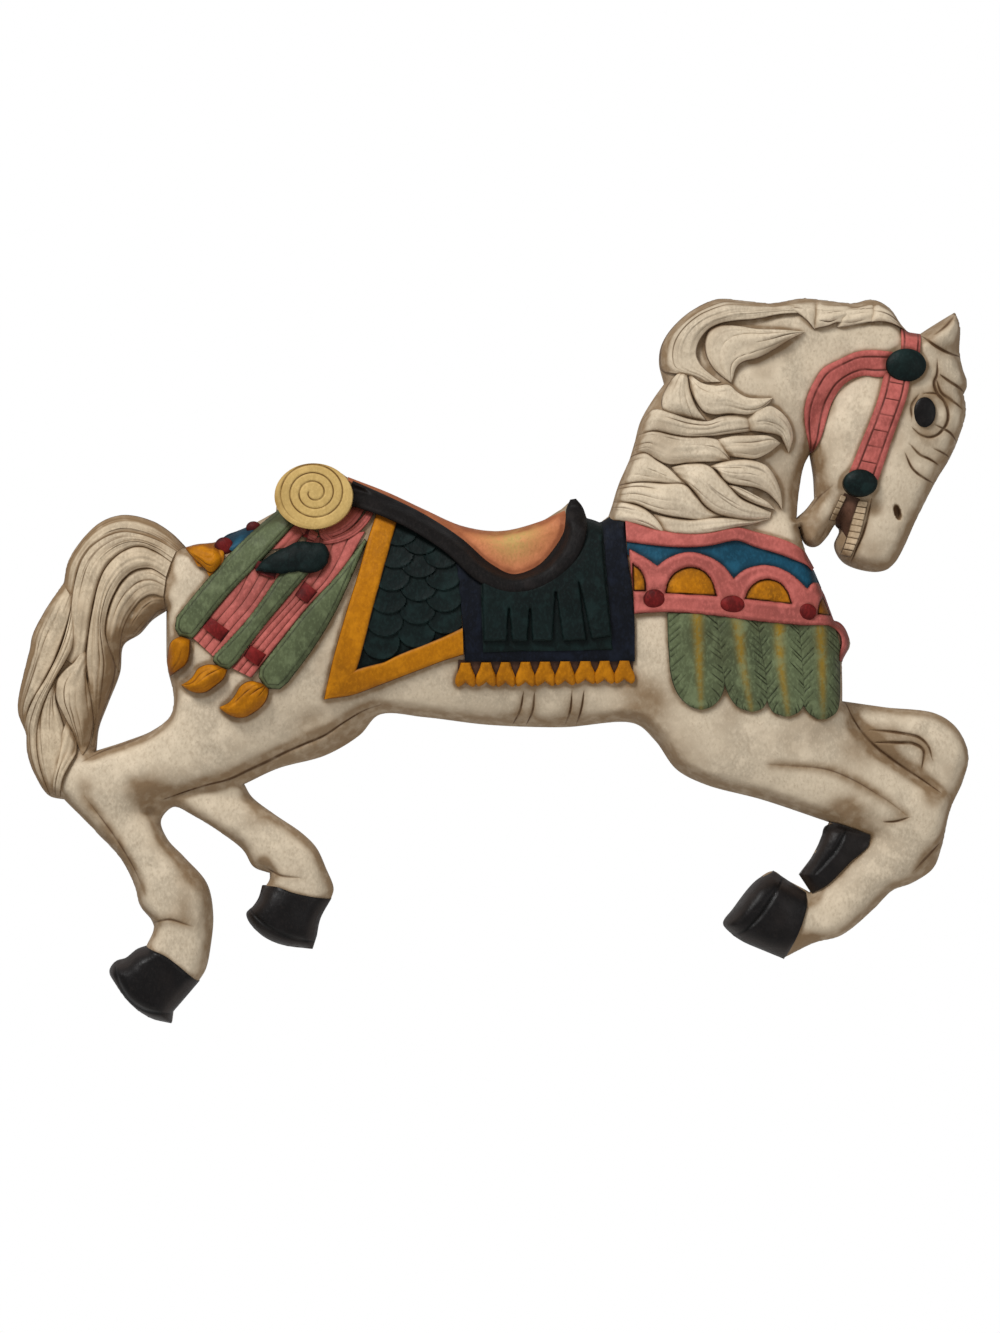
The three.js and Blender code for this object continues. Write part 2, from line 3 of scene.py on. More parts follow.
import bpy
import numpy as np
from mathutils.geometry import delaunay_2d_cdt
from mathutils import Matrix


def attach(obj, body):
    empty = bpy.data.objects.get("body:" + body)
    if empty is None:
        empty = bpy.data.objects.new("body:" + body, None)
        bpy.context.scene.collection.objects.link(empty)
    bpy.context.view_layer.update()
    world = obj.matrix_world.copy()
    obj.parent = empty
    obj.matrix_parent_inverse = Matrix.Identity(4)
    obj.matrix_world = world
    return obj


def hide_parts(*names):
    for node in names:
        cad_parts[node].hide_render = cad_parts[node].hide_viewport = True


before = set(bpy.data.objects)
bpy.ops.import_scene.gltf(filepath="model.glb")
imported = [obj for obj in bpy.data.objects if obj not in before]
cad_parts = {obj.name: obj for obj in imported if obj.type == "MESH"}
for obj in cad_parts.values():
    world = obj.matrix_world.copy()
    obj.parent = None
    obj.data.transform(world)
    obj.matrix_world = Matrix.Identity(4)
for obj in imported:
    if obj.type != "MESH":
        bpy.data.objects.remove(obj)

bl_info = {
    "name": "Carousel Horse Relief",
    "version": (1, 0, 0),
    "blender": (4, 5, 0),
    "location": "View3D > Sidebar > Horse",
    "description": "Builds a painted carousel horse carved in half relief, flat at the back",
    "category": "Add Mesh",
}

# All places are in millimetres: x along the horse, z up. Heights are measured from the flat back,
# towards the front (-Y). MM turns them into the scene's metres.
MM = 0.001

# ---------------------------------------------------------------------------------------------
# The sawn edge and the gaps through the board

SILHOUETTE = [
    [(-252, 50), (-264, 62), (-280, 72), (-302, 76.5), (-320, 71), (-336, 56), (-347, 38), (-350, 22)],
    [(-357, 12), (-366, -2), (-375, -19), (-377, -30)],
    [(-383, -55), (-387, -80), (-380, -100)],
    [(-379, -115), (-371, -137), (-362, -149), (-350, -152)],
    [(-325, -177), (-304, -200), (-293, -222), (-289, -237), (-279, -250), (-278, -256), (-284, -270)],
    [(-292, -273), (-301, -280), (-309, -283), (-313, -290), (-308, -300), (-296, -316), (-280, -327),
     (-264, -331)],
    [(-263, -323)],
    [(-254, -312), (-243, -299)],
    [(-237, -289), (-233, -270), (-231, -245), (-236, -220), (-254, -199), (-268, -184), (-273, -169),
     (-262, -158), (-246, -165), (-222, -180), (-206, -193), (-198, -206), (-185, -211)],
    [(-185, -216), (-190, -224)],
    [(-193, -232), (-198, -238)],
    [(-203, -243), (-201, -250), (-190, -261), (-175, -268), (-151, -271)],
    [(-148, -262), (-145, -248), (-136, -232)],
    [(-134, -224), (-140, -208), (-148, -191), (-160, -179), (-182, -164), (-200, -150), (-206, -140)],
    [(-178, -127), (-140, -116.5), (-113, -100.5), (-97, -84), (-60, -86), (-10, -92), (50, -94), (108, -91),
     (125, -105), (142, -128), (165, -140), (210, -152), (265, -170.5)],
    [(253, -195), (243, -212)],
    [(250, -227), (246, -225)],
    [(229, -216)],
    [(220, -210), (206, -218), (188, -240), (180, -252), (188, -261)],
    [(196, -266), (210, -272), (228, -279)],
    [(252, -267), (274, -261), (300, -240), (315, -225), (331, -219), (348, -207), (354.5, -190), (361, -161),
     (371.5, -137.5), (376, -116), (367, -95), (350, -83), (310, -78), (275, -73)],
    [(274, -40)],
    [(281, -28), (277.6, -17), (268, -10)],
    [(254, 24), (245, 47), (240, 66)],
    [(246, 53), (254, 51), (262, 58), (270, 69), (273, 64), (269, 52), (277, 38), (305, 31), (316, 37),
     (336, 77), (350, 104), (361, 122), (369, 141), (374, 160), (372, 173)],
    [(375, 181), (371, 195), (369, 206), (369, 228), (365, 239)],
    [(350, 230), (336, 221)],
    [(326, 223), (311, 243), (298, 249), (283, 246), (262, 248), (243, 250), (218, 246), (195, 248),
     (172, 249), (148, 236), (131, 216), (128, 200), (132, 182)],
    [(122, 168), (113, 152), (106, 126), (95, 100), (88, 76)],
    [(80, 70)],
    [(70, 73)],
    [(66, 83), (60, 89), (49, 81)],
    [(30, 70), (0, 63), (-30, 67), (-60, 80), (-90, 94), (-123, 107)],
    [(-131, 112), (-148, 116), (-165, 112), (-177, 101), (-180, 79)],
    [(-204, 66), (-228, 54)],
]
TAIL_GAP = [
    [(-268, 0), (-280, -8), (-290, -19), (-303, -28), (-306, -50), (-316, -76), (-323, -95), (-325, -113)],
    [(-300, -105), (-278, -96), (-264, -84), (-262, -68), (-267, -45), (-268, 0)],
]
THROAT_GAP = [
    [(249, 126), (244, 116), (240, 95), (238, 74)],
    [(246, 81), (253, 90)],
    [(252, 108), (249, 126)],
]

# Rounded forms under the paint: x, z, half width, height of the crown
NEAR_SIDE = [
    [(-228, 5, 78, 38), (-165, -5, 91, 44), (-110, 0, 95, 46), (-20, -8, 86, 46), (60, -8, 90, 46),
     (110, -10, 88, 45), (165, -35, 96, 46), (222, -50, 62, 43)],
    [(-252, 36, 24, 28), (-246, 0, 28, 35), (-240, -42, 30, 38), (-247, -84, 20, 34)],
    [(-185, -30, 82, 46), (-231, -98, 47, 42), (-270, -121, 33, 36), (-312, -136, 33, 33)],
    [(-336, -136, 30, 32), (-306, -174, 28, 30), (-278, -203, 27, 30), (-262, -230, 32, 32),
     (-256, -253, 27, 29), (-266, -284, 38, 30), (-284, -306, 40, 33)],
    [(150, -52, 84, 46), (200, -84, 74, 47), (225, -104, 58, 46), (255, -125, 47, 43), (283, -141, 38, 40),
     (312, -154, 33, 37), (334, -164, 28, 35)],
    [(342, -164, 28, 34), (317, -196, 28, 32), (292, -218, 22, 29), (275, -235, 22, 29),
     (259, -247, 24, 29), (238, -250, 32, 29), (216, -246, 36, 31), (196, -238, 34, 32)],
    [(165, 0, 96, 42), (165, 60, 82, 38), (170, 105, 76, 36), (186, 150, 70, 36), (214, 186, 60, 36),
     (262, 208, 46, 36), (305, 208, 38, 36)],
    [(92, 66, 18, 24), (112, 112, 24, 28), (130, 156, 26, 28), (150, 200, 36, 30), (176, 224, 30, 32),
     (230, 226, 28, 33), (300, 222, 30, 33)],
    [(225, 40, 42, 36), (238, -20, 46, 40), (240, -75, 46, 42)],
]
FAR_SIDE = [
    [(-105, -58, 30, 32), (-160, -90, 34, 31), (-212, -126, 30, 27)],
    [(-250, -152, 36, 24), (-199, -173, 22, 24), (-180, -188, 27, 25), (-163, -210, 30, 25),
     (-165, -232, 33, 24), (-174, -250, 33, 27), (-178, -262, 30, 27)],
    [(266, -106, 38, 24), (300, -102, 30, 24), (335, -108, 34, 25), (350, -118, 36, 26)],
    [(352, -116, 32, 25), (346, -160, 22, 22), (336, -195, 20, 20), (322, -210, 14, 18)],
    [(305, -120, 24, 15), (335, -128, 20, 15)],
    [(300, -182, 22, 19), (272, -198, 32, 20), (254, -208, 26, 20)],
]
HEAD = [
    [(330, 202, 44, 36), (324, 162, 62, 41), (305, 126, 65, 41), (309, 95, 44, 37), (302, 68, 36, 34),
     (294, 48, 33, 31)],
    [(280, 106, 17, 30), (263, 84, 16, 26), (251, 62, 16, 25)],
    [(284, 92, 9, 18), (277, 74, 8, 13), (272, 66, 6, 12)],
    [(340, 208, 17, 34), (356, 222, 14, 38), (368, 240, 8, 34)],
    [(-258, 28, 34, 28), (-290, 38, 46, 28), (-318, 12, 48, 27), (-339, -28, 40, 26), (-347, -64, 42, 26),
     (-353, -95, 36, 25), (-354, -120, 30, 23), (-358, -142, 18, 18)],
]
FULLNESS = 0.72  # 1 gives a round section, less gives a flatter crown with steeper sides
EDGE_HEIGHT = 9.0  # thickness of the board at its sawn edge
EDGE_ROUND = 12.0  # how far in from the edge its front is rounded
EDGE_PACE = 1.3  # spacing of the points along the sawn edge
EDGE_REACH = 16  # how far in from the edge distances are measured
FILLETS = {"near": 12, "far": 5, "head": 4, "between": 3}  # how softly forms run into each other
LEAST_RISE = 2  # the lowest carving stands this much above the sawn edge
# The hollow of the seat: its floor climbs by rise between top and top - fall, and sinks to both sides
SEAT_HOLLOW = {"floor": 21, "rise": 9, "top": 96, "fall": 60, "middle": -10, "slant": 0.28}
SANDING = 1.6  # radius over which the rough forms are smoothed
GOUGE_WAVES = ((3, 34, 0.9), (4, 11, 0.35), (5, 4, 0.1))  # seed, size and height of the unevenness

# ---------------------------------------------------------------------------------------------
# Numbers for drawing and shaping


def smooth(stations, step):
    """A smooth line through the stations, resampled at even steps. Any further columns follow it."""
    p = np.array(stations, float)
    if len(p) > 2:
        gaps = np.maximum(np.hypot(*np.diff(p[:, :2], axis=0).T), 1e-6) ** 0.5
        knots = np.r_[0, np.cumsum(gaps)]
        slopes = np.gradient(p, knots, axis=0)
        t = np.linspace(0, 1, 12, endpoint=False)[:, None]
        runs = []
        for i, gap in enumerate(gaps):
            a, b = p[i], p[i + 1]
            da, db = slopes[i] * gap, slopes[i + 1] * gap
            runs.append((2 * t**3 - 3 * t**2 + 1) * a + (t**3 - 2 * t**2 + t) * da
                        + (3 * t**2 - 2 * t**3) * b + (t**3 - t**2) * db)
        p = np.vstack([*runs, p[-1:]])
    along = np.r_[0, np.cumsum(np.hypot(*np.diff(p[:, :2], axis=0).T))]
    count = max(2, int(round(along[-1] / step)) + 1) if step > 0 else int(-step)
    at = np.linspace(0, along[-1], count)
    return np.stack([np.interp(at, along, column) for column in p.T], axis=1)


def outline(runs, step):
    """One closed edge out of smooth runs that meet in corners."""
    edge = []
    start = []
    for run in runs:
        line = smooth([*start, *run], step)
        edge.extend(line[1 if start else 0:])
        start = [run[-1]]
    edge = np.array(edge)
    return edge[:-1] if np.hypot(*(edge[0] - edge[-1])) < 1e-6 else edge


class Board:
    """A height map of the relief, one value per square millimetre or finer."""

    def __init__(self, pitch=1.0, west=-396.0, east=388.0, low=-340.0, high=260.0):
        self.pitch, self.west, self.low = pitch, west, low
        self.xs = np.arange(west, east + pitch / 2, pitch)
        self.zs = np.arange(low, high + pitch / 2, pitch)
        self.shape = (len(self.zs), len(self.xs))

    def blank(self, value=0.0):
        return np.full(self.shape, float(value))

    def window(self, x, z, reach):
        """Slices and offsets of the cells within reach of a point."""
        c0 = max(0, int((x - reach - self.west) / self.pitch))
        c1 = min(self.shape[1], int((x + reach - self.west) / self.pitch) + 2)
        r0 = max(0, int((z - reach - self.low) / self.pitch))
        r1 = min(self.shape[0], int((z + reach - self.low) / self.pitch) + 2)
        dx = self.xs[c0:c1] - x
        dz = self.zs[r0:r1] - z
        return (slice(r0, r1), slice(c0, c1)), dx[None, :] ** 2 + dz[:, None] ** 2

    def sample(self, field, x, z):
        c = np.clip((np.asarray(x) - self.west) / self.pitch, 0, self.shape[1] - 1.001)
        r = np.clip((np.asarray(z) - self.low) / self.pitch, 0, self.shape[0] - 1.001)
        ci, ri = c.astype(int), r.astype(int)
        u, v = c - ci, r - ri
        return ((field[ri, ci] * (1 - u) + field[ri, ci + 1] * u) * (1 - v)
                + (field[ri + 1, ci] * (1 - u) + field[ri + 1, ci + 1] * u) * v)

    def inside(self, edges):
        """True for the cells inside an outline and outside its holes."""
        mask = np.zeros(self.shape, bool)
        for edge in edges:
            x0, z0 = edge.T
            x1, z1 = np.roll(edge, -1, axis=0).T
            for r, z in enumerate(self.zs):
                cross = (z0 <= z) != (z1 <= z)
                if cross.any():
                    hits = x0[cross] + (z - z0[cross]) / (z1[cross] - z0[cross]) * (x1[cross] - x0[cross])
                    mask[r] ^= np.searchsorted(np.sort(hits), self.xs) % 2 == 1
        return mask

    def away(self, edges, reach):
        """Distance of each cell from the outlines, up to a reach."""
        far = self.blank(reach * reach)
        for edge in edges:
            for x, z in edge:
                cells, square = self.window(x, z, reach)
                far[cells] = np.minimum(far[cells], square)
        return np.sqrt(far)

    def form(self, stations):
        """A rounded form swept along its spine."""
        high = self.blank()
        for x, z, half, crown in smooth(stations, 2.5):
            cells, square = self.window(x, z, half)
            rise = crown * np.clip(1 - square / half**2, 0, 1) ** (FULLNESS / 2)
            high[cells] = np.maximum(high[cells], rise)
        return high

    def grain(self, seed, cell):
        """Soft random unevenness between about -1 and 1."""
        rng = np.random.default_rng(seed)
        nx, nz = (int(len(line) * self.pitch / cell) + 3 for line in (self.xs, self.zs))
        knots = rng.uniform(-1, 1, (nz, nx))
        u = np.linspace(0, nx - 1.001, self.shape[1])
        v = np.linspace(0, nz - 1.001, self.shape[0])
        ui, vi = u.astype(int), v.astype(int)
        fu, fv = u - ui, v - vi
        fu, fv = fu * fu * (3 - 2 * fu), (fv * fv * (3 - 2 * fv))[:, None]
        rows = knots[:, ui] * (1 - fu) + knots[:, np.minimum(ui + 1, nx - 1)] * fu
        return rows[vi] * (1 - fv) + rows[np.minimum(vi + 1, nz - 1)] * fv

    def blur(self, field, mask, radius):
        """The field's local mean over a soft circle, counting only the cells in the mask."""
        def spread(values):
            rows = np.fft.fftfreq(self.shape[0] * 2, self.pitch)[:, None]
            columns = np.fft.rfftfreq(self.shape[1] * 2, self.pitch)[None, :]
            keep = np.exp(-2 * (np.pi * radius) ** 2 * (rows**2 + columns**2))
            size = (self.shape[0] * 2, self.shape[1] * 2)
            return np.fft.irfft2(np.fft.rfft2(values, size) * keep, size)[:self.shape[0], :self.shape[1]]
        return spread(field * mask) / np.maximum(spread(mask.astype(float)), 1e-3)


def blend(a, b, reach):
    """The higher of two forms, with the crease between them filled."""
    near = np.clip(reach - np.abs(a - b), 0, None) / reach
    return np.maximum(a, b) + near * near * reach / 4 * (np.minimum(a, b) > 0.5)


# ---------------------------------------------------------------------------------------------
# Carved details: points, half width, depth

CREASE_ROWS = (-2.4, -1.5, -0.75, 0, 0.75, 1.5, 2.4)  # rows of points beside a line, in half widths
CREASE_REACH = 2.9  # and how far from the line no other points are set
TAPER = (0.06, 0.94)  # part of a half wave by which a line thins out at its ends
CREASES = [
    ([(-262, 47), (-267, 33), (-269, 14), (-268, 2)], 1.4, 3.5),
    ([(-268, -151), (-251, -145), (-235, -140), (-216, -135), (-201, -128), (-186, -121), (-172, -114),
      (-156, -107), (-140, -100), (-125, -90), (-108, -80), (-96, -76)], 1.5, 3.8),
    ([(276, -73), (281, -84), (289, -97), (299, -108), (313, -119), (338, -136), (352, -146)], 1.6, 4.5),
    ([(296, -96), (310, -97), (324, -99), (335, -102), (342, -109), (345, -119)], 0.8, 1.4),
    ([(300, -106), (317, -106), (331, -107), (338, -112), (337, -126)], 1.0, 1.8),
    ([(214, -123), (232, -124), (260, -127), (282, -136), (299, -146), (310, -153), (324, -164)], 1.2, 0.8),
    ([(306, -169), (315, -168.4), (325, -165.4)], 0.7, 1.3),
    ([(352, -186), (340, -198), (331, -208)], 0.9, 1.4),
    ([(-330, -150), (-308, -180), (-293, -205), (-284, -225)], 1.2, 0.9),
    ([(-333, -121), (-318, -113), (-300, -107), (-281, -98), (-267, -88)], 0.9, 1.0),
    ([(-279, -251), (-264, -247), (-247, -252)], 0.8, 0.9),
    ([(-190, -205), (-176, -212), (-160, -214)], 0.8, 0.9),
    ([(18.6, -66), (16, -80), (10, -92)], 0.6, 1.4),
    ([(27.4, -66), (26, -80), (21, -92)], 0.6, 1.4),
    ([(57.2, -66), (56, -80), (52, -92)], 0.6, 1.4),
    ([(66.7, -65), (65, -78), (61, -92)], 0.6, 1.4),
    ([(266, -51), (276, -50)], 0.7, 1.2),
    ([(348, 197), (347.5, 187), (345, 180), (347.5, 172), (353.5, 165), (356, 156)], 0.9, 1.8),
    ([(350, 187), (358, 181.5), (372, 174)], 0.8, 1.6),
    ([(347, 183), (351, 172.5), (359.5, 166.5), (369, 160)], 0.8, 1.4),
    ([(328, 144), (334, 139), (341, 137), (349, 140), (356, 150), (355, 162), (348, 171), (338, 172)], 0.9,
     1.9),
    ([(327, 152), (327, 162), (332, 170)], 0.8, 1.2),
    ([(322, 124), (328, 112), (337, 105), (347, 101)], 0.7, 1.4),
    ([(326, 131), (334, 123), (341, 120), (350, 115)], 0.7, 1.4),
    ([(346, 147), (358, 141), (366, 134)], 0.7, 1.3),
    ([(345, 128), (355, 124), (362, 121)], 0.7, 1.0),
    ([(336, 219.5), (344, 211.5), (352, 207), (360, 204), (369, 203)], 1.0, 2.2),
    ([(346, 219), (355, 226), (363, 235)], 0.8, 1.0),
    ([(248, 80), (256, 91), (264, 98)], 0.8, 0.8),
    ([(295.4, 88), (292.6, 73), (289, 60), (283.6, 47), (280.6, 38)], 0.7, 1.5),
    ([(263, 69), (258, 60), (253, 53)], 0.6, 0.7),
]
# Soft brown patches on the coat, partly painted shade in its hollows and under its forms and partly stains:
# x, z, radius and strength
SHADE_AND_STAINS = [
    (-288, -141, 13, 0.6), (-270, -154, 15, 0.7), (-248, -212, 14, 0.5), (-254, -238, 12, 0.45),
    (-188, -201, 6, 0.8), (-196, -168, 12, 0.4), (276, -161, 15, 0.95), (249, -231, 8, 0.6),
    (243, -264, 10, 0.6), (120, -72, 18, 0.5), (139, -108, 22, 0.35), (182, -84, 9, 0.4),
    (284, -112, 18, 0.45), (344, -152, 10, 0.5), (344, -197, 9, 0.5), (300, 80, 7, 0.6), (249, 72, 12, 0.7),
    (247, 55, 11, 0.8), (254, 100, 10, 0.5), (256, 120, 8, 0.45), (275, 53, 8, 0.7), (297, 48, 10, 0.35),
    (234, 98, 14, 0.4), (262, 160, 8, 0.35), (340, 135, 8, 0.3), (-262, 24, 7, 0.6), (-258, -60, 14, 0.35),
    (110, -70, 20, 0.4), (-150, -92, 16, 0.35), (-330, -140, 9, 0.5),
]
NOSTRIL = {"x": 316.4, "z": 77.6, "across": 3.0, "along": 6.6, "lean": 0.3, "depth": 6}

# Locks of hair: one edge, the other edge, extra height, and number of strands
MANE = [
    ([(246, 250.4), (225, 247.8), (203, 247.4), (178, 250), (160, 243.5), (142, 231.4), (130, 214),
      (127.6, 203), (131, 190), (140, 188), (150, 186.5), (160, 181)],
     [(246, 236), (224, 235), (203, 231), (186, 229.5), (174, 227), (165, 222), (158, 212), (156.5, 203),
      (160, 195), (166, 189), (171, 185), (176, 181.5)], 4, 7),
    ([(242, 221), (223, 222.5), (203, 223.5), (188, 226), (175, 226), (166, 221), (163, 212), (164, 203),
      (169, 193), (176, 186), (184, 180)],
     [(241, 220), (233, 216), (222, 209), (210, 202), (203, 199), (197, 198), (192, 196), (189, 193.5),
      (187, 190), (185.5, 185), (184, 180)], 5, 5),
    ([(224, 247.6), (236, 249.6), (246, 250.4), (256, 249.4)],
     [(226, 240), (238, 235), (245, 228.5), (250, 222)], 3, 4),
    ([(250, 250.4), (262, 249.2), (276, 247.2), (288, 247.5)],
     [(250, 223), (260, 225), (268, 228), (275, 226)], 4, 5),
    ([(272, 247.5), (285, 246.2), (294, 250), (304, 248.6)], [(268, 224), (280, 226), (290, 228), (301, 229)],
     3, 5),
    ([(296, 250), (305, 248.4), (314, 241.6), (320, 233), (327, 225), (335, 222.4)],
     [(293, 228), (302, 229), (310, 228), (317, 226), (325, 223), (335, 221)], 5, 4),
    ([(150, 189), (160, 181), (171, 178.6), (182, 179), (188, 173.6), (196, 169), (206, 168), (217, 168.6)],
     [(151, 176), (156, 165), (162, 157), (170, 154.6), (182, 155.6), (198, 154.8), (208, 158), (217, 168)],
     5, 4),
    ([(144, 190.5), (137, 184), (130, 172), (128.5, 163), (131, 157)],
     [(149, 189), (151, 176), (155, 164), (159, 157), (165, 150)], 4, 4),
    ([(113, 151), (122, 160), (134, 157.4), (150, 152), (165, 150), (176, 154), (190, 155.4), (200, 154)],
     [(109, 139), (122, 142), (137, 139), (150, 137), (168, 137.6), (180, 139), (190, 140), (202, 142)], 3,
     4),
    ([(196, 155), (206, 159.5), (215, 162), (223, 158), (230, 150), (233.5, 139), (232.7, 132),
      (230.3, 125.5)],
     [(199, 141.7), (206, 141), (212, 140), (218, 139.4), (223, 137.5), (225.5, 133.5), (228, 129),
      (229.8, 125.5)], 5, 4),
    ([(106, 139), (122, 142.2), (137, 139), (150, 137), (165, 137), (175, 134), (181, 126), (184, 118)],
     [(102, 122), (115, 125), (125, 119), (134, 115.4), (150, 116.4), (165, 117), (175, 117.6), (184, 117)],
     4, 5),
    ([(170, 135), (184, 138), (200, 138.8), (214, 138.5), (224, 133)],
     [(182, 121.6), (192, 120.4), (203, 119.5), (213, 124), (224, 132.6)], 5, 4),
    ([(101, 122), (115, 125), (125, 119), (134, 113), (142, 105.5), (149, 99)],
     [(96, 100), (105, 101), (114, 101.5), (125, 101), (136, 100), (149, 99)], 3, 4),
    ([(166, 114), (177, 117.4), (190, 119.4), (203, 118.6), (213, 114), (220, 104), (224, 93), (225, 80)],
     [(172, 111), (180, 101), (190, 98.4), (203, 96.6), (213, 92.4), (218, 88), (222, 84), (224.6, 80)], 6,
     5),
    ([(180, 100), (192, 97), (204, 91), (213, 86), (219, 80)],
     [(182, 97), (191, 89.4), (201, 84.4), (210, 81.6), (219, 79.6)], 4, 3),
    ([(136, 114), (150, 116), (165, 115), (174, 107), (184, 96), (192, 88), (203, 83), (216, 78)],
     [(144, 103), (150, 98), (156, 91), (162, 83), (170, 77), (183, 73), (200, 71), (215, 73)], 6, 5),
    ([(95, 100), (112, 101.5), (130, 100.6), (147, 99.6), (156, 90), (164, 81), (176, 75)],
     [(91, 86), (108, 84), (119, 79), (131, 75), (145, 72.6), (160, 71), (176, 74)], 4, 4),
    ([(90, 87), (103, 85), (113, 81.7), (121, 76), (127, 69), (132, 61)],
     [(86, 72), (94, 71), (103, 69), (112, 67), (121, 64), (130, 60)], 5, 4),
    ([(122, 77), (134, 73.6), (150, 71.6), (168, 73), (186, 73), (200, 71.6), (215, 73)],
     [(128, 61), (140, 60), (155, 59), (172, 61), (188, 65), (201, 68), (214, 72)], 3, 3),
]
TAIL = [
    ([(-252, 52), (-270, 67), (-290, 75.6), (-310, 77), (-328, 65), (-342, 50), (-350, 34), (-351, 20)],
     [(-258, 46), (-272, 55), (-290, 61), (-304, 62), (-322, 54), (-333, 42), (-339, 27), (-341, 12)], 0, 6),
    ([(-258, 47), (-272, 55), (-290, 61), (-304, 62), (-322, 54), (-333, 42), (-339, 24), (-342, 4),
      (-343, -18), (-349, -38)],
     [(-262, 38), (-274, 46), (-288, 50.6), (-302, 45.6), (-314, 34), (-320, 21), (-324, 6), (-328, -16),
      (-331, -34), (-336, -46)], 3, 6),
    ([(-262, 38), (-274, 46), (-288, 50.6), (-302, 45.6), (-314, 34), (-320, 21), (-324, 4), (-328, -18),
      (-330, -40), (-327, -66), (-325, -92)],
     [(-266, 26), (-278, 33), (-290, 32), (-300, 25), (-307, 14), (-312, 2), (-315, -18), (-311, -34),
      (-308, -48), (-314, -68), (-323, -92)], 4, 6),
    ([(-266, 26), (-278, 33), (-290, 32), (-300, 24), (-308, 12), (-313, -2), (-316, -18), (-311, -36)],
     [(-268, 10), (-277, 12), (-286, 8), (-293, 0), (-299, -10), (-303, -22), (-305, -34), (-306, -50)], 1,
     5),
    ([(-268, 12), (-277, 13), (-287, 8), (-294, 0), (-300, -12), (-304, -24)],
     [(-267, 1), (-273, -1), (-280, -8), (-287, -15), (-294, -22), (-302, -31)], -2, 4),
    ([(-350, 22), (-357, 12), (-366, -2), (-375, -20), (-378, -36), (-383, -54), (-387, -80), (-382, -98)],
     [(-341, 8), (-345, -10), (-350, -26), (-356, -42), (-363, -56), (-370, -68), (-376, -78), (-380, -98)],
     3, 6),
    ([(-342, 4), (-346, -16), (-352, -34), (-362, -54), (-372, -70), (-380, -90), (-381, -108), (-375, -128),
      (-364, -146)],
     [(-338, -14), (-341, -30), (-347, -42), (-354, -54), (-361, -68), (-367, -84), (-370, -102),
      (-368, -124), (-361, -148)], 5, 5),
    ([(-332, -30), (-340, -42), (-347, -48), (-353, -56), (-354, -70), (-348, -84), (-341, -98),
      (-336, -112)],
     [(-328, -44), (-330, -52), (-328, -62), (-326, -74), (-325, -88), (-327, -100), (-329, -108),
      (-333, -116)], 4, 5),
    ([(-352, -52), (-361, -64), (-368, -80), (-371, -100), (-369, -122), (-361, -148)],
     [(-354, -60), (-354, -72), (-350, -86), (-346, -100), (-345, -116), (-352, -140)], 2, 6),
    ([(-346, -88), (-350, -100), (-353, -114), (-356, -130), (-358, -148)],
     [(-338, -104), (-338, -114), (-343, -124), (-348, -134), (-352, -150)], 4, 5),
    ([(-318, -36), (-326, -46), (-329, -58), (-327, -74), (-325, -92), (-328, -108)],
     [(-308, -42), (-309, -54), (-312, -66), (-317, -78), (-322, -92), (-326, -110)], 1, 4),
]
TASSELS = [
    ([(-246, -24), (-246, -34), (-249, -43), (-257, -49), (-264.5, -53)],
     [(-254, -21), (-262, -26), (-265, -35), (-266, -43), (-264.5, -52)], 9, 3),
    ([(-216, -48), (-219, -55), (-226, -61), (-234, -66), (-244, -65.4), (-253.5, -60)],
     [(-224, -44), (-232, -43.5), (-239, -46.4), (-244, -53.6), (-249, -57.5), (-253.5, -59.7)], 9, 4),
    ([(-183, -62), (-184, -69), (-187, -75), (-195, -82), (-204, -86), (-213, -84.5), (-222, -79)],
     [(-190, -58), (-198, -56.6), (-205, -60), (-210, -68), (-214, -73), (-218, -75.4), (-222, -77)], 9, 4),
    ([(-226, 53), (-234, 53.6), (-244, 53), (-252, 50.4)],
     [(-219, 39), (-229, 29), (-238, 36), (-252, 49.6)], 6, 4),
]

# ---------------------------------------------------------------------------------------------
# Trappings. A strap is two edges; a cord or roll is a line with half widths; a cloth is an outline.

RIM = [(-121, 94, 10), (-95, 84, 8.6), (-66, 70, 8.4), (-37, 51, 8.6), (-12, 29, 9), (10, 20, 8.4),
       (34, 27, 9), (51, 43, 10), (59.5, 60, 9), (60.5, 73, 8.2), (59.4, 82, 6.4), (58.4, 88.6, 2.4)]
SEAT = [[(-122, 104), (-95, 88), (-66, 74), (-37, 56), (-12, 34), (10, 25), (34, 32), (48, 46), (54, 60),
         (52, 80)], [(30, 70.6), (0, 63.6), (-30, 67.6), (-60, 80.6), (-90, 94.6), (-122, 107)]]
SADDLE_CLOTH = [[(-36, 45), (-32.3, 17), (-30.1, -5), (-28.6, -27), (-27.9, -41.3)], [(106.8, -41.2)],
                [(106.5, -6), (104.9, 13), (102.4, 32), (100.2, 52), (99.8, 72.6)], [(93, 75.4), (88, 74.8)],
                [(80, 70.6), (75, 72.4), (66, 75)], [(50, 34), (20, 16), (-12, 22), (-36, 45)]]
FLAP = [[(-15.6, 30), (-15, 6), (-13.4, -34)], [(89.4, -32)], [(87, 0), (84, 35), (81.4, 69.7)],
        [(74, 72.6), (66, 73)], [(50, 34), (20, 16), (-15.6, 30)]]
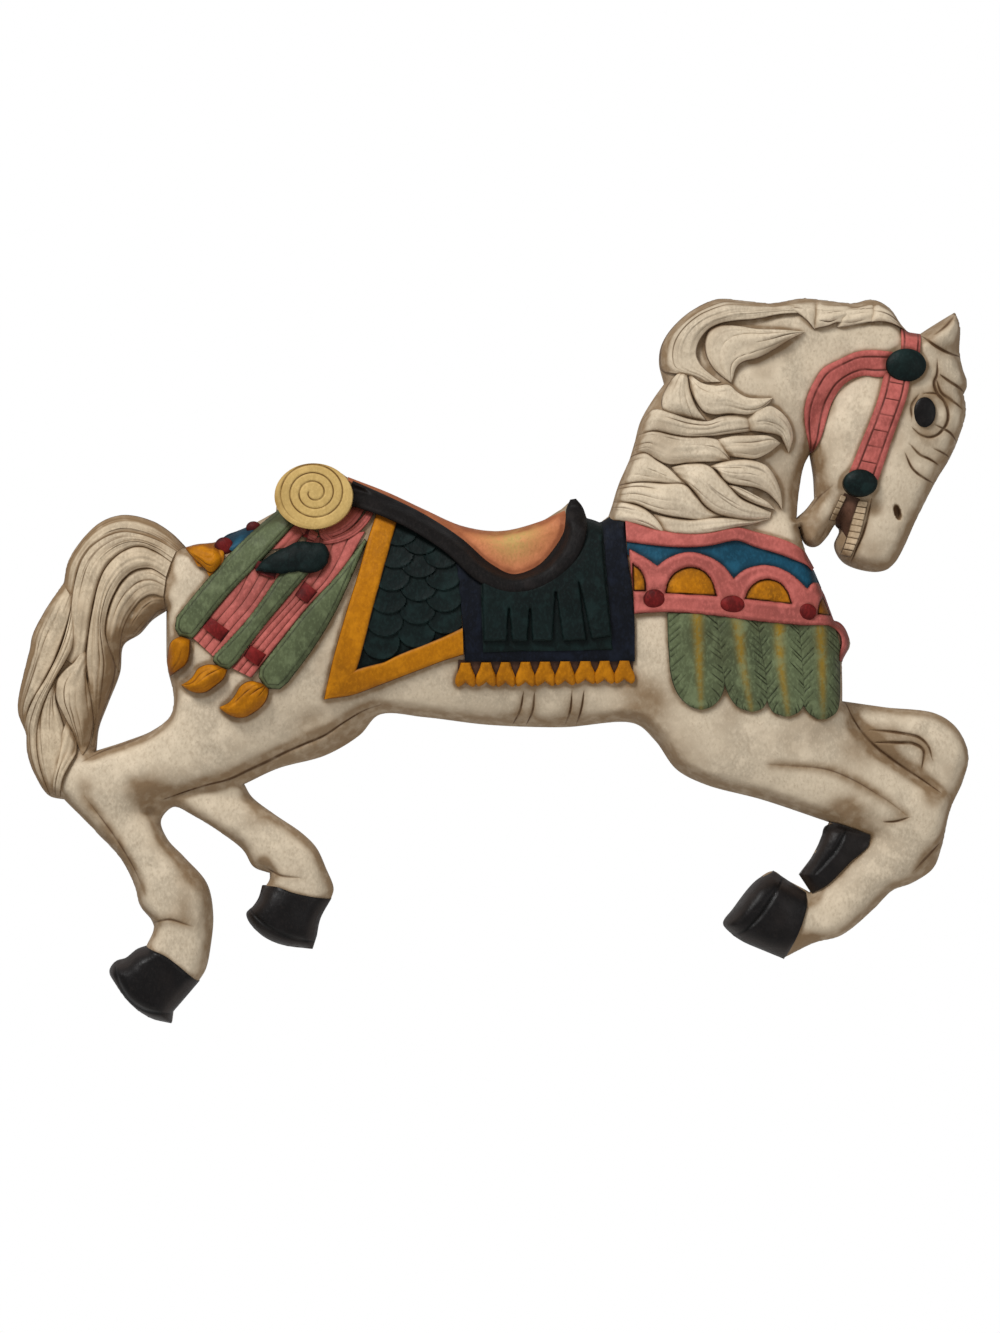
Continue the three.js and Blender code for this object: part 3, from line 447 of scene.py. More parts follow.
# The cut flap: a cloth slit from below into five hanging strips
SLIT_FLAP = [[(-14.6, 29), (-14, 4), (-13, -25.6)], [(5.4, -25.2)], [(7.2, 0.6)], [(9.6, -25.2)],
             [(21.8, -25.4)], [(23.8, 0.6)], [(25.6, -25.4)], [(41.6, -25)], [(44.2, 13.4)], [(49.9, -24.8)],
             [(68.6, -24.4)], [(62.6, 20.8)], [(72.4, -23.8)], [(88.2, -21.2)],
             [(85.6, 5), (82.6, 36), (80.4, 68)], [(74, 71), (66, 72)], [(50, 34), (20, 16), (-14.6, 29)]]
BLANKET = [[(-91, 72), (-100, 50), (-108, 20), (-119, -20), (-127, -54)],
           [(-92, -50), (-56, -34), (-30, -24)], [(-31, 10), (-34, 45)], [(-60, 62), (-91, 72)]]
BORDER = [
    ([(-98.3, 77), (-105, 55.7), (-113, 26.3), (-123.7, -8.3), (-133, -41.7), (-140, -71.5)],
     [(-82, 70), (-91.7, 34.3), (-96, 18), (-100.3, 2.3), (-107.7, -27), (-119, -66)]),
    ([(-139.8, -71.4), (-118.3, -68.3), (-94.3, -59.7), (-66, -48.9), (-44, -40.6), (-29, -36)],
     [(-120, -49.6), (-105, -45), (-91.7, -41.7), (-80.7, -36.2), (-51.3, -24.5), (-29.6, -14.5)]),
]
# The lowest points of the first and last scale of each column, and how many there are
SCALES = {"columns": (((-80, 50), (-94, -40), 6), ((-63, 43), (-66, -31), 5), ((-46, 32), (-43, -20), 4)),
          "half": 14.5, "round": 12, "tilt": 2.4}
# The fringe: heights are those of its first and its last tuft
FRINGE = {"west": -35, "east": 107, "lobes": 9, "top": (-41.6, -40), "low": (-62.6, -58.6)}
# The roll, and the spiral cut in its end: its heart beside the middle, its turns and its cut
BEDROLL = {
    "x": -147.6, "z": 89.6, "across": 30.8, "along": 26, "crown": 51,
    "turns": 3.3, "pitch": 7.3, "start": 0.6, "heart": (0.4, 2.6), "squash": 0.92, "half": 0.68, "depth": 0.9,
}

STRAPS = [
    [[(-170, 88), (-181, 78), (-204.3, 56.1), (-236.8, 19.1), (-257.2, -6)], [(-258.6, -14.9)],
     [(-254.8, -21.4)], [(-244.2, -23)], [(-240, -19)],
     [(-219.1, 7.3), (-192.4, 35.4), (-165.8, 65), (-154, 76)], [(-170, 88)]],
    [[(-165, 42), (-173, 31), (-201.3, -9), (-227.2, -36.4)], [(-227.6, -40.8)], [(-222.4, -46.6)],
     [(-214.4, -47.5)], [(-208.4, -42)], [(-180.6, -6), (-152, 28), (-144, 38)], [(-165, 42)]],
    [[(-107.4, 56.4), (-128.8, 28), (-154, 0), (-190.2, -46)], [(-191.4, -53.4)], [(-186, -62.6)],
     [(-174.7, -63.4)], [(-168, -57.8)], [(-148, -31.2), (-131.8, -4.6), (-118.5, 23.6), (-105.4, 54)],
     [(-107.4, 56.4)]],
]
BOW = [[(-143, 60.5, 2.5), (-132, 63.5, 5.4), (-121.5, 70, 5.6), (-114, 79, 5), (-109.5, 87, 4)],
       [(-140, 53.5, 2), (-128, 56.4, 3), (-116, 62.6, 3.4), (-107, 72, 3.4), (-103, 79, 3)],
       [(-157, 66, 3), (-151, 60, 4.4), (-146, 57, 3.6)],
       [(-141, 66, 3), (-139, 59.6, 4.4), (-134, 55.6, 2.6)]]
PLEATS = [
    ([(-203, 43), (-214, 15), (-228, -3), (-244, -22)], [(-169, 30), (-190, 1), (-206, -17), (-224, -40)], 4),
    ([(-172, 70), (-178, 60), (-189, 47)], [(-150, 66), (-158, 58), (-164, 50)], 3),
    ([(-154, 56), (-157, 36), (-169, 10), (-193, -17), (-217, -44)],
     [(-107, 62), (-128, 26), (-150, 4), (-173, -24), (-197, -54)], 4),
]
CRIMSON = [
    ([(-200, 41), (-193, 29)], [(-176, 34), (-177.7, 24)]),
    ([(-229.9, -5.7), (-236.7, -13)], [(-214.4, -17), (-221.2, -25.7)]),
    ([(-155, 22.6), (-162.4, 11.7)], [(-144.4, 13.7), (-151.8, 4.4)]),
    ([(-198, -28), (-203, -37)], [(-184.6, -36), (-191.2, -45.2)]),
    ([(-154, 66), (-157, 58)], [(-150, 64), (-151.6, 57)]),
]
KNOTS = [(-219.6, 50.4, 7.6, 7.4), (-196.8, 65.6, 6, 5.2)]
CROUP_CLOTH = [[(-226, 54), (-220, 60), (-211, 63.6), (-200, 68)], [(-192, 62)], [(-203, 52), (-212, 46)],
               [(-226, 54)]]
CROUP_LEAF = [[(-252, 50.6), (-243, 53), (-232, 54), (-224, 55.6)], [(-219, 44)],
              [(-221, 33), (-225, 30), (-231, 26.4)], [(-235, 33), (-240, 34.4)],
              [(-243, 39), (-246, 44), (-252, 50.6)]]
CROUP_FOLDS = [
    ([(-226, 47), (-234, 42), (-241, 36)], 0.9, 1.8),
    ([(-232, 49), (-239, 47)], 0.8, 1.4),
    ([(-224, 42), (-229, 34)], 0.8, 1.4),
]
LEAF = [[(-194, 31), (-189, 37.6), (-180, 44.6), (-171, 49), (-159.5, 54), (-148, 53.2), (-139.6, 52),
         (-135.6, 45), (-136.8, 37)],
        [(-141, 32), (-150, 28.8), (-160.4, 30), (-171, 28.4), (-182, 29), (-194, 31)]]


COLLAR_FIELD = [[(101, 66), (134, 58), (188, 61), (232, 48), (252, 32)], [(258, 18)],
                [(244, 12), (185, 20), (125, 30), (101, 44)], [(101, 66)]]
COLLAR_TOP = ([(99.6, 73), (116.7, 66.4), (134, 62.2), (150, 60.6), (167, 61.4), (181, 64.4), (190, 65.4),
               (203, 62), (223, 56.6), (237, 50.6), (245.6, 44.4), (252, 34)],
              [(100.6, 54), (117, 51.7), (137, 49.7), (157, 49.7), (170, 51.3), (181, 54), (189, 54.7),
               (203, 49.7), (223, 43.6), (235, 39), (244, 35.4), (249, 31)])
# The collar below it: arches along the top, a straight band along the bottom, open half discs between
COLLAR = [[(102.4, 48.4), (108.8, 45), (116.4, 40.6), (124.7, 34.6)],
          [(134.3, 41.4), (147, 45.4), (157.2, 44.8), (168.7, 40.6), (177.6, 34.4), (185.3, 24.8)],
          [(192.9, 31), (204.4, 35), (215.9, 34.8), (227.4, 30.6), (236.3, 24.2), (244, 16.6)],
          [(249, 21.4), (255.2, 22)], [(260, 12.7), (266, -3.6), (269.6, -12.6)],
          [(250, -13), (223.6, -11.4), (195.5, -8.3), (167.4, -4.8), (131.7, -2.2), (106.3, -3.4)],
          [(105.6, 13), (103.8, 30), (102.4, 48.4)]]
SUNS = [[[(105.4, 36), (111, 31.4), (114.8, 24), (115.6, 14.6)], [(105.6, 14.6)], [(105.4, 36)]],
        [[(131, 12.8), (133.4, 22.4), (140, 30), (150.6, 33.4), (161, 30.6), (168, 22.6), (171.4, 10.9)],
         [(131, 12.8)]],
        [[(194, 8.4), (197.6, 16.4), (204, 22), (212.4, 24), (221.6, 21.4), (228, 14), (231.4, 4.6)],
         [(194, 8.4)]], [[(252, -3.6), (253.6, 4), (257.8, 11)], [(264, -4.6)], [(252, -3.6)]]]
LOOP = [(262, -10.5, 2.6), (270, -13, 4), (274.6, -19, 4), (275.6, -27, 3.6), (273.6, -35, 3.4),
        (272.4, -41, 2)]
STUDS = [(122.1, 8.3, 8.7, 7.6), (183.8, 3.8, 9.7, 7.2), (243.4, -2, 7.6, 6.7)]
FEATHERS = [
    ([(132.4, -3), (133.3, -31.7), (136, -55.7), (142, -69), (151, -77), (158, -79.4)],
     [(174, -4), (176, -31.7), (178, -56), (175, -69), (168, -76.6), (161, -79.4)],
     [(156, -4), (157.4, -40), (159, -79)]),
    ([(171, -5), (173.6, -31.7), (177, -56), (182, -69.6), (188.7, -77.4), (198, -81)],
     [(204, -7), (207.4, -31.7), (211.4, -56), (212, -70), (208, -78), (201, -81)],
     [(188, -7), (191.3, -40), (199, -81)]),
    ([(203, -7), (206.6, -31.7), (210.4, -56), (211.6, -72), (216, -81), (225, -84.8)],
     [(237, -10), (239.4, -31.7), (241, -58), (242, -72), (237, -81), (230, -84.6)],
     [(221.3, -8), (222, -40), (228, -84)]),
    ([(236, -10), (238, -31.7), (240, -58), (240, -74), (244.6, -82), (252, -87)],
     [(267, -13), (271, -31.7), (271.4, -55), (270.6, -73), (267, -82), (259, -87)],
     [(254, -11), (255.3, -45), (256, -86.6)]),
]

THROAT_STRAP = ([(312, 205), (295, 206.3), (283, 204.8), (269.5, 198.8), (256.7, 191.7), (250, 181.7),
                 (244.7, 169.7), (242.7, 159), (243.3, 148.3), (245.3, 137.7), (248, 126.6)],
                [(312, 186), (300, 185), (290, 186.3), (279.3, 183), (271.3, 176.3), (264.7, 165.7),
                 (261.3, 156.3), (258.7, 147), (256, 137.7), (253, 131), (250, 126)])
CHEEK_STRAP = ([(305.5, 188), (300.4, 168), (295, 153), (286, 130.5), (277, 108)],
               [(326, 184), (322.6, 168), (319, 157.5), (310, 132), (300.3, 103)])
HEADPIECE = ([(319.6, 224), (319.4, 214), (318, 202)], [(336.6, 221.6), (334.6, 212), (333.6, 202)])
ROSETTES = [(322.3, 194, 16, 13.2), (286, 100.4, 13.6, 11)]
EYE = (337.3, 156.8, 8.8, 12)
TEETH = ([(285.0, 87), (281, 73), (277, 59), (272, 44)], [(292.6, 86), (290, 73), (286.6, 59), (280, 42)], 9)
LOWER_TEETH = ([(271.6, 92), (267.6, 82), (263.4, 72)], [(276, 90), (271.8, 80.6), (268, 71)], 4)
MOUTH = [[(274, 93), (271, 84), (268.6, 74), (270, 68), (273.6, 64), (276.6, 58)], [(282, 74), (286.6, 88)],
         [(274, 93)]]


HOOVES = [
    ([[(-284, -269.5), (-268, -275.5), (-255, -285), (-241.6, -298)], [(-254, -312.6), (-263, -323)],
      [(-264, -331.6)],
      [(-280, -327.6), (-296, -316.6), (-308.4, -300.4), (-313.6, -290), (-309.4, -282.4), (-301, -279.4),
       (-292, -272.4), (-284, -269.5)]],
     [(-308, -285), (-303, -300), (-294.5, -312), (-283.5, -319), (-263, -323)]),
    ([[(-191, -221), (-178, -221.6), (-166, -225.7), (-152, -229), (-135.6, -231.8)],
      [(-144.4, -248), (-147.4, -262)], [(-150.6, -272)],
      [(-175, -268.6), (-190.4, -261.6), (-201.6, -250), (-203.6, -243), (-198.4, -237.6), (-194, -231),
       (-191, -221)]], [(-201, -239), (-192, -247.5), (-180, -256), (-166, -262), (-149, -266)]),
    ([[(245, -226), (245.4, -234), (242, -247), (238, -258), (233, -269), (228, -280)],
      [(210, -272.6), (196, -266.6), (187.4, -261.4)],
      [(179.4, -252), (187.4, -240), (205.6, -217.6), (220, -209.4)], [(229, -215.4)], [(245, -226)]],
     [(227, -213.6), (217.5, -229), (208, -243), (196, -255), (187, -260.6)]),
    ([[(263, -169.4), (270, -170.6), (283, -175), (296, -180)],
      [(294.6, -188), (280, -202), (262, -220), (250, -227)], [(240.4, -212.4)], [(253, -195), (259, -181)],
      [(261, -174.4), (266.6, -171)], [(263, -169.4)]],
     [(277, -175.5), (270, -190), (262, -200), (251.6, -211.6)]),
]


# ---------------------------------------------------------------------------------------------
# Shaping meshes


class Carving:
    """The height of the bare horse, and of everything that has been laid on it."""

    def __init__(self):
        board = self.board = Board()
        self.edges = [outline(runs, EDGE_PACE) for runs in (SILHOUETTE, TAIL_GAP, THROAT_GAP)]
        self.mask = board.inside(self.edges)
        self.away = board.away(self.edges, EDGE_REACH)
        rough = {}
        for side, table in (("near", NEAR_SIDE), ("far", FAR_SIDE), ("head", HEAD)):
            rough[side] = board.blank()
            for stations in table:
                rough[side] = blend(rough[side], board.form(stations), FILLETS[side])
        high = np.maximum(blend(rough["near"], rough["far"], FILLETS["between"]), rough["head"])
        high = np.maximum(high, EDGE_HEIGHT + LEAST_RISE)
        seat, hollow = board.inside([outline(SEAT, 2)]), SEAT_HOLLOW
        aside = np.abs(board.xs[None, :] - hollow["middle"])
        below = hollow["top"] - board.zs[:, None] - hollow["slant"] * aside
        dip = hollow["floor"] + hollow["rise"] * np.clip(below / hollow["fall"], 0, 1)
        high = np.where(seat, dip, high)
        high = board.blur(high, np.ones(board.shape), SANDING)
        turn = np.sqrt(np.clip(1 - (1 - np.clip(self.away / EDGE_ROUND, 0, 1)) ** 2, 0, 1))
        high = EDGE_HEIGHT + (high - EDGE_HEIGHT) * turn
        high += sum(strength * board.grain(seed, cell) for seed, cell, strength in GOUGE_WAVES)
        self.high = np.where(self.mask, high, EDGE_HEIGHT)
        self.pieces = []

    def under(self, x, z):
        """Height of the bare horse, before its lines are cut."""
        return self.board.sample(self.high, x, z)


def cut_depth(strokes, x, z):
    """How deep the carved lines are at each point. Each line thins out towards both ends."""
    deep = np.zeros(len(x))
    for points, width, depth in strokes:
        line = smooth(points, 0.5)
        ends = np.sin(np.pi * np.linspace(*TAPER, len(line))) ** 0.5
        low, high = line.min(axis=0) - 3 * width, line.max(axis=0) + 3 * width
        near = np.nonzero((x > low[0]) & (x < high[0]) & (z > low[1]) & (z < high[1]))[0]
        if len(near):
            square = (x[near, None] - line[:, 0]) ** 2 + (z[near, None] - line[:, 1]) ** 2
            closest = square.argmin(axis=1)
            end, square = ends[closest], square.min(axis=1)
            deep[near] = np.maximum(deep[near], depth * end * np.exp(-square / (2 * (width * end) ** 2)))
    return deep


def rows_along(strokes):
    """Points in rows along the carved lines, and the cells of the board that they take up."""
    board = CARVING.board
    taken = board.blank()
    rows = []
    for points, width, _ in strokes:
        line = smooth(points, 1.0)
        along = np.gradient(line, axis=0)
        along /= np.hypot(*along.T)[:, None]
        side = np.stack([-along[:, 1], along[:, 0]], axis=1) * width
        rows += [line + side * share for share in CREASE_ROWS]
        for x, z in line:
            cells, square = board.window(x, z, CREASE_REACH * width)
            taken[cells] = np.maximum(taken[cells], square < (CREASE_REACH * width) ** 2)
    return np.vstack(rows), taken


CARVING = Carving()


def point(x, z, height):
    return np.stack([np.asarray(x), -np.asarray(height), np.asarray(z)], axis=-1) * MM


def corners_of(piece):
    """The places of a mesh's points in millimetres: three rows, x, y and z."""
    places = np.empty(len(piece.data.vertices) * 3, np.float32)
    piece.data.vertices.foreach_get("co", places)
    return places.reshape(-1, 3).T / MM


def set_attribute(mesh, name, values):
    attribute = mesh.attributes.get(name) or mesh.attributes.new(name, "FLOAT", "POINT")
    attribute.data.foreach_set("value", np.asarray(values, np.float32))


def deselect():
    if bpy.context.object and bpy.context.object.mode != "OBJECT":
        bpy.ops.object.mode_set(mode="OBJECT")
    bpy.ops.object.select_all(action="DESELECT")


def take(piece):
    deselect()
    piece.select_set(True)
    bpy.context.view_layer.objects.active = piece


def close_back(piece, height):
    """Draws the rim of an open sheet straight back to a flat height, and closes it there."""
    take(piece)
    bpy.ops.object.mode_set(mode="EDIT")
    bpy.ops.mesh.select_mode(type="EDGE")
    bpy.ops.mesh.select_all(action="DESELECT")
    bpy.ops.mesh.select_non_manifold(extend=False, use_wire=False, use_boundary=True, use_multi_face=False,
                                     use_non_contiguous=False, use_verts=False)
    bpy.ops.mesh.extrude_edges_move(TRANSFORM_OT_translate={"value": (0, MM, 0)})
    bpy.ops.transform.resize(value=(1, 0, 1), center_override=(0, -height * MM, 0))
    bpy.ops.mesh.fill(use_beauty=False)
    bpy.ops.mesh.select_all(action="SELECT")
    bpy.ops.mesh.normals_make_consistent(inside=False)
    bpy.ops.object.mode_set(mode="OBJECT")


def within(rims, x, z):
    """True for the points inside the first outline and outside its holes."""
    odd = np.zeros(len(x), bool)
    for rim in rims:
        (x0, z0), (x1, z1) = rim.T, np.roll(rim, -1, axis=0).T
        cross = (z0 <= z[:, None]) != (z1 <= z[:, None])
        reach = x0 + (z[:, None] - z0) / np.where(z1 == z0, 1, z1 - z0) * (x1 - x0)
        odd ^= (cross & (reach > x[:, None])).sum(axis=1) % 2 == 1
    return odd


POINT_ROOM = 0.62  # the points of a sheet stay this share of their spacing off its rim
RIM_SHARE = 0.45  # share of its height at which a sheet starts at its rim
CLOTH_REACH = 12  # how far in from the rim of a sheet distances are measured


def cloth(name, edges, rise, pitch=1.3, back=6.0, turn=1.6, detail=None, points=None, level=None):
    """A sheet with the given outlines that lies on the horse, or at a level, and stands above it."""
    rims = [outline(runs, pitch) if isinstance(runs, list) else runs for runs in edges]
    low, high = np.min(rims[0], axis=0), np.max(rims[0], axis=0)
    local = Board(pitch, low[0] - 2, high[0] + 2, low[1] - 2, high[1] + 2)
    away = local.away(rims, CLOTH_REACH)
    inside = local.inside(rims)
    if points is None:
        rows, columns = np.nonzero(inside & (away > pitch * POINT_ROOM))
        points = np.stack([local.xs[columns], local.zs[rows]], axis=1)
    lines, start = [], 0
    for rim in rims:
        count = len(rim)
        lines += [(start + i, start + (i + 1) % count) for i in range(count)]
        start += count
    corners = np.vstack([*rims, points])
    found, _, faces = delaunay_2d_cdt([tuple(p) for p in corners], lines, [], 2, 1e-5)[:3]
    x, z = np.array([tuple(p) for p in found]).T
    faces = np.array(faces)
    centre = np.stack([x[faces].mean(axis=1), z[faces].mean(axis=1)])
    doubt = np.nonzero(local.sample(inside.astype(float), *centre) < 0.999)[0]
    faces = np.delete(faces, doubt[~within(rims, *centre[:, doubt])], axis=0)
    inward = np.clip(local.sample(away, x, z) - 0.3, 0, None)
    edge = RIM_SHARE + (1 - RIM_SHARE) * np.sqrt(np.clip(1 - (1 - np.clip(inward / turn, 0, 1)) ** 2, 0, 1))
    height = (CARVING.under(x, z) if level is None else level) + rise * edge
    groove = np.zeros(len(x))
    if detail:
        extra, groove = detail(x, z, inward)
        height = height + extra
    mesh = bpy.data.meshes.new(name)
    mesh.from_pydata(point(x, z, height).tolist(), [], faces[:, ::-1].tolist())
    piece = bpy.data.objects.new(name, mesh)
    bpy.context.collection.objects.link(piece)
    set_attribute(mesh, "groove", groove)
    close_back(piece, back)
    return piece


def strip(name, first, second, shape, step=1.8, across=10, back=6.0):
    """A strap, lock or roll between two edges. shape gives height and groove from u, v and half width."""
    length = max(np.hypot(*np.diff(np.array(edge, float)[:, :2], axis=0).T).sum() for edge in (first, second))
    count = max(3, int(length / step))
    ends = smooth(first, -(count + 1)), smooth(second, -(count + 1))
    deselect()
    bpy.ops.mesh.primitive_grid_add(x_subdivisions=count, y_subdivisions=across, size=1)
    piece = bpy.context.object
    piece.name = piece.data.name = name
    places = np.empty(len(piece.data.vertices) * 3, np.float32)
    piece.data.vertices.foreach_get("co", places)
    u, v = places.reshape(-1, 3)[:, 0] + 0.5, places.reshape(-1, 3)[:, 1] + 0.5
    steps = np.arange(count + 1)
    here, there = (np.stack([np.interp(u * count, steps, column) for column in edge.T[:2]], axis=1)
                   for edge in ends)
    x, z = (here * (1 - v)[:, None] + there * v[:, None]).T
    half = np.hypot(*(here - there).T) / 2
    rise, groove = shape(u, v * 2 - 1, half)
    piece.data.vertices.foreach_set("co", point(x, z, CARVING.under(x, z) + rise).astype(np.float32).ravel())
    set_attribute(piece.data, "groove", groove)
    close_back(piece, back)
    return piece


def rails(stations):
    """The two edges of a line with half widths."""
    line = smooth(stations, 2.0)
    along = np.gradient(line[:, :2], axis=0)
    along /= np.maximum(np.hypot(*along.T), 1e-6)[:, None]
    out = np.stack([-along[:, 1], along[:, 0]], axis=1) * line[:, 2:3]
    return [tuple(p) for p in line[:, :2] + out], [tuple(p) for p in line[:, :2] - out]


def join(name, pieces):
    deselect()
    for piece in pieces:
        piece.select_set(True)
    bpy.context.view_layer.objects.active = pieces[0]
    if len(pieces) > 1:
        bpy.ops.object.join()
    whole = pieces[0]
    whole.name = whole.data.name = name
    return whole


def flat_strap(rise, line=None, depth=0.9):
    """A strap with rounded edges, and with a line cut along each side where line says how far out."""
    def shape(u, v, half):
        high = rise * (1 - 0.5 * np.abs(v) ** 6)
        groove = 0 * v if line is None else np.exp(-((np.abs(v) - line) * half / 0.9) ** 2)
        return high - depth * groove, groove
    return shape


def round_roll(rise):
    """A roll or a bead, nearly round across."""
    def shape(u, v, half):
        return rise * np.sqrt(np.clip(1 - 0.8 * v * v, 0, 1)), np.abs(v) ** 8
    return shape


def hair(rise, strands, seed, lift=2.4):
    """A lock: a low dome, split by a few uneven cuts that come and go along it."""
    rng = np.random.default_rng(seed)
    # where each cut lies across the lock, starts, how long it is, how it bends, its depth and its width
    cuts = [(share * 2 - 1 + rng.uniform(-0.5, 0.5) / strands, rng.uniform(-0.25, 0.35),
             rng.uniform(0.45, 1.1), rng.uniform(0, 6.3), rng.uniform(0.35, 1.0), rng.uniform(0.45, 0.8))
            for share in np.arange(1, strands) / strands]
    sway = rng.uniform(0, 6.3)

    def shape(u, v, half):
        root = np.clip(u * 8, 0, 1)
        fade = (0.3 + 0.7 * root) * (1 - 0.75 * (1 - np.clip((1 - u) * 3.2, 0, 1)) ** 2)
        dome = (lift + rise + half * 0.14) * fade * np.sqrt(np.clip(1 - v * v * 0.8, 0, 1))
        deep = np.zeros(len(u))
        for at, start, length, phase, strength, width in cuts:
            bend = 0.09 * np.sin(3.6 * u + phase) + 0.03 * np.sin(10 * u + 2 * phase)
            shown = np.sqrt(np.abs(np.sin(np.pi * np.clip((u - start) / length, 0, 1))))
            gap = (v - at - bend) * half / (width * (0.5 + 0.5 * shown))
            deep = np.maximum(deep, np.exp(-gap * gap) * shown * strength)
        swell = 0.35 * np.sin(v * strands * 1.8 + sway + 1.3 * np.sin(3 * u + sway)) * np.clip(half / 6, 0, 1)
        return dome + (swell - 1.1 * deep) * fade, np.clip(deep * 0.95 + np.abs(v) ** 14, 0, 1)
    return shape


# ---------------------------------------------------------------------------------------------
# Paint

GLAZE_AND_SHADE = (138, 109, 76)  # the thin brown of the glazing and of the painted shade in soft hollows
LINE = (92, 66, 43)  # the same brown, thick in the cuts
# Each kind of brushwork: size and detail of its patches, where they begin and are full, least and most
BRUSHWORK = {
    "dark_patches": (24, 3, 0.36, 0.68, 0, 1),
    "light_patches": (75, 5, 0.5, 0.68, 0, 0.6),
    "uneven_glaze_and_shade": (120, 6, 0.3, 0.6, 0.72, 1),
    "specks": (260, 6, 0.6, 0.7, 0, 0.27),
    "stains": (26, 8, 0.5, 0.72, 0, 0.34),
    "broken_lines": (85, 4, 0.34, 0.54, 0.55, 1),
}
STREAKS = {"size": 480, "detail": 6, "turn": 0.5, "stretch": 0.65, "light": (0.48, 0.66, 0, 0.4),
           "dark": (0.34, 0.48, 0.2, 0)}
GLAZE_AND_SHADE_REACH = (0.04, 0.85)  # how sheltered a place is where the glazing and painted shade begin, and where they are full
LINE_REACH = (0.2, 0.85, 0, 0.92)  # the same for the cut lines, and how dark they get
# the most that the glazing and painted shade cover the paint
MOST_GLAZE_AND_SHADE = 0.9
SHINE = {"noise": 70, "detail": 3, "less": 0.07, "more": 0.09, "specular": 0.16, "coat": 0.35}
BUMP = {"noise": 130, "detail": 5, "streaks": 0.8, "strength": 0.34, "depth": 0.0012}


def linear(colour):
    return [c / 12.92 if c <= 0.04045 else ((c + 0.055) / 1.055) ** 2.4 for c in (v / 255 for v in colour)]


def paint(name, tone, shade, glow, glaze=GLAZE_AND_SHADE, line=LINE, rough=0.55, wash=0.85, gloss=0.0, ridge=0.3,
          fade=None):
    """Painted carving: two tones brushed unevenly, painted lighter on ridges as highlight and dry-brushed
    wear, and glazed brown in hollows, where shade is painted too.
    """
    material = bpy.data.materials.new(name)
    material.use_nodes = True
    tree = material.node_tree
    nodes, link = tree.nodes, tree.links.new
    shader = nodes["Principled BSDF"]
    place = nodes.new("ShaderNodeTexCoord").outputs["Object"]

    brushed = nodes.new("ShaderNodeMapping")
    brushed.inputs["Rotation"].default_value = (0, STREAKS["turn"], 0)
    brushed.inputs["Scale"].default_value = (1, 1, STREAKS["stretch"])
    link(place, brushed.inputs["Vector"])

    def noise(scale, detail, vector=place):
        node = nodes.new("ShaderNodeTexNoise")
        node.inputs["Scale"].default_value = scale
        node.inputs["Detail"].default_value = detail
        link(vector, node.inputs["Vector"])
        return node.outputs["Fac"]

    def spread(value, low, high, to_low=0.0, to_high=1.0):
        node = nodes.new("ShaderNodeMapRange")
        node.interpolation_type = "SMOOTHSTEP"
        for key, number in zip(("From Min", "From Max", "To Min", "To Max"), (low, high, to_low, to_high)):
            node.inputs[key].default_value = number
        link(value, node.inputs["Value"])
        return node.outputs["Result"]

    def fill(socket, value):
        if isinstance(value, (int, float)):
            socket.default_value = value
        elif isinstance(value, tuple):
            socket.default_value = (*linear(value), 1)
        else:
            link(value, socket)

    def maths(kind, a, b):
        node = nodes.new("ShaderNodeMath")
        node.operation = kind
        fill(node.inputs[0], a)
        fill(node.inputs[1], b)
        return node.outputs[0]

    def mix(factor, a, b):
        node = nodes.new("ShaderNodeMix")
        node.data_type = "RGBA"
        link(factor, node.inputs[0])
        fill(node.inputs[6], a)
        fill(node.inputs[7], b)
        return node.outputs[2]

    def attribute(key):
        node = nodes.new("ShaderNodeAttribute")
        node.attribute_name = key
        return node.outputs["Fac"]

    def brushwork(kind):
        scale, detail, *reach = BRUSHWORK[kind]
        return spread(noise(scale, detail), *reach)

    colour = mix(brushwork("dark_patches"), tone, shade)
    if fade:
        colour = mix(attribute("fade"), colour, fade)
    colour = mix(brushwork("light_patches"), colour, glow)
    streak = noise(STREAKS["size"], STREAKS["detail"], brushed.outputs["Vector"])
    colour = mix(spread(streak, *STREAKS["light"]), colour, glow)
    # painted highlight and dry-brushed wear: raised places are mixed towards the light tone
    colour = mix(maths("MULTIPLY", attribute("ridge"), ridge), colour, glow)
    # brown glazing and painted shade in hollows, on faces turned down and along the sawn edge, with stains
    # and specks
    hollow = maths("MULTIPLY", spread(attribute("wash"), *GLAZE_AND_SHADE_REACH), brushwork("uneven_glaze_and_shade"))
    marks = maths("MAXIMUM", brushwork("specks"), spread(streak, *STREAKS["dark"]))
    painted_light_and_marks = maths("MAXIMUM", maths("ADD", hollow, brushwork("stains")), marks)
    colour = mix(maths("MINIMUM", maths("MULTIPLY", painted_light_and_marks, wash), MOST_GLAZE_AND_SHADE), colour, glaze)
    cut = maths("MULTIPLY", spread(attribute("groove"), *LINE_REACH), brushwork("broken_lines"))
    colour = mix(cut, colour, line)
    link(colour, shader.inputs["Base Color"])
    dull = noise(SHINE["noise"], SHINE["detail"])
    link(spread(dull, 0.3, 0.7, rough - SHINE["less"], rough + SHINE["more"]), shader.inputs["Roughness"])
    shader.inputs["Specular IOR Level"].default_value = SHINE["specular"]
    shader.inputs["Coat Weight"].default_value = gloss
    shader.inputs["Coat Roughness"].default_value = SHINE["coat"]
    bump = nodes.new("ShaderNodeBump")
    bump.inputs["Strength"].default_value = BUMP["strength"]
    bump.inputs["Distance"].default_value = BUMP["depth"]
    grain = maths("ADD", noise(BUMP["noise"], BUMP["detail"]), maths("MULTIPLY", streak, BUMP["streaks"]))
    link(grain, bump.inputs["Height"])
    link(bump.outputs["Normal"], shader.inputs["Normal"])
    return material


SMOOTH_ANGLE = math.radians(50)  # edges sharper than this stay sharp


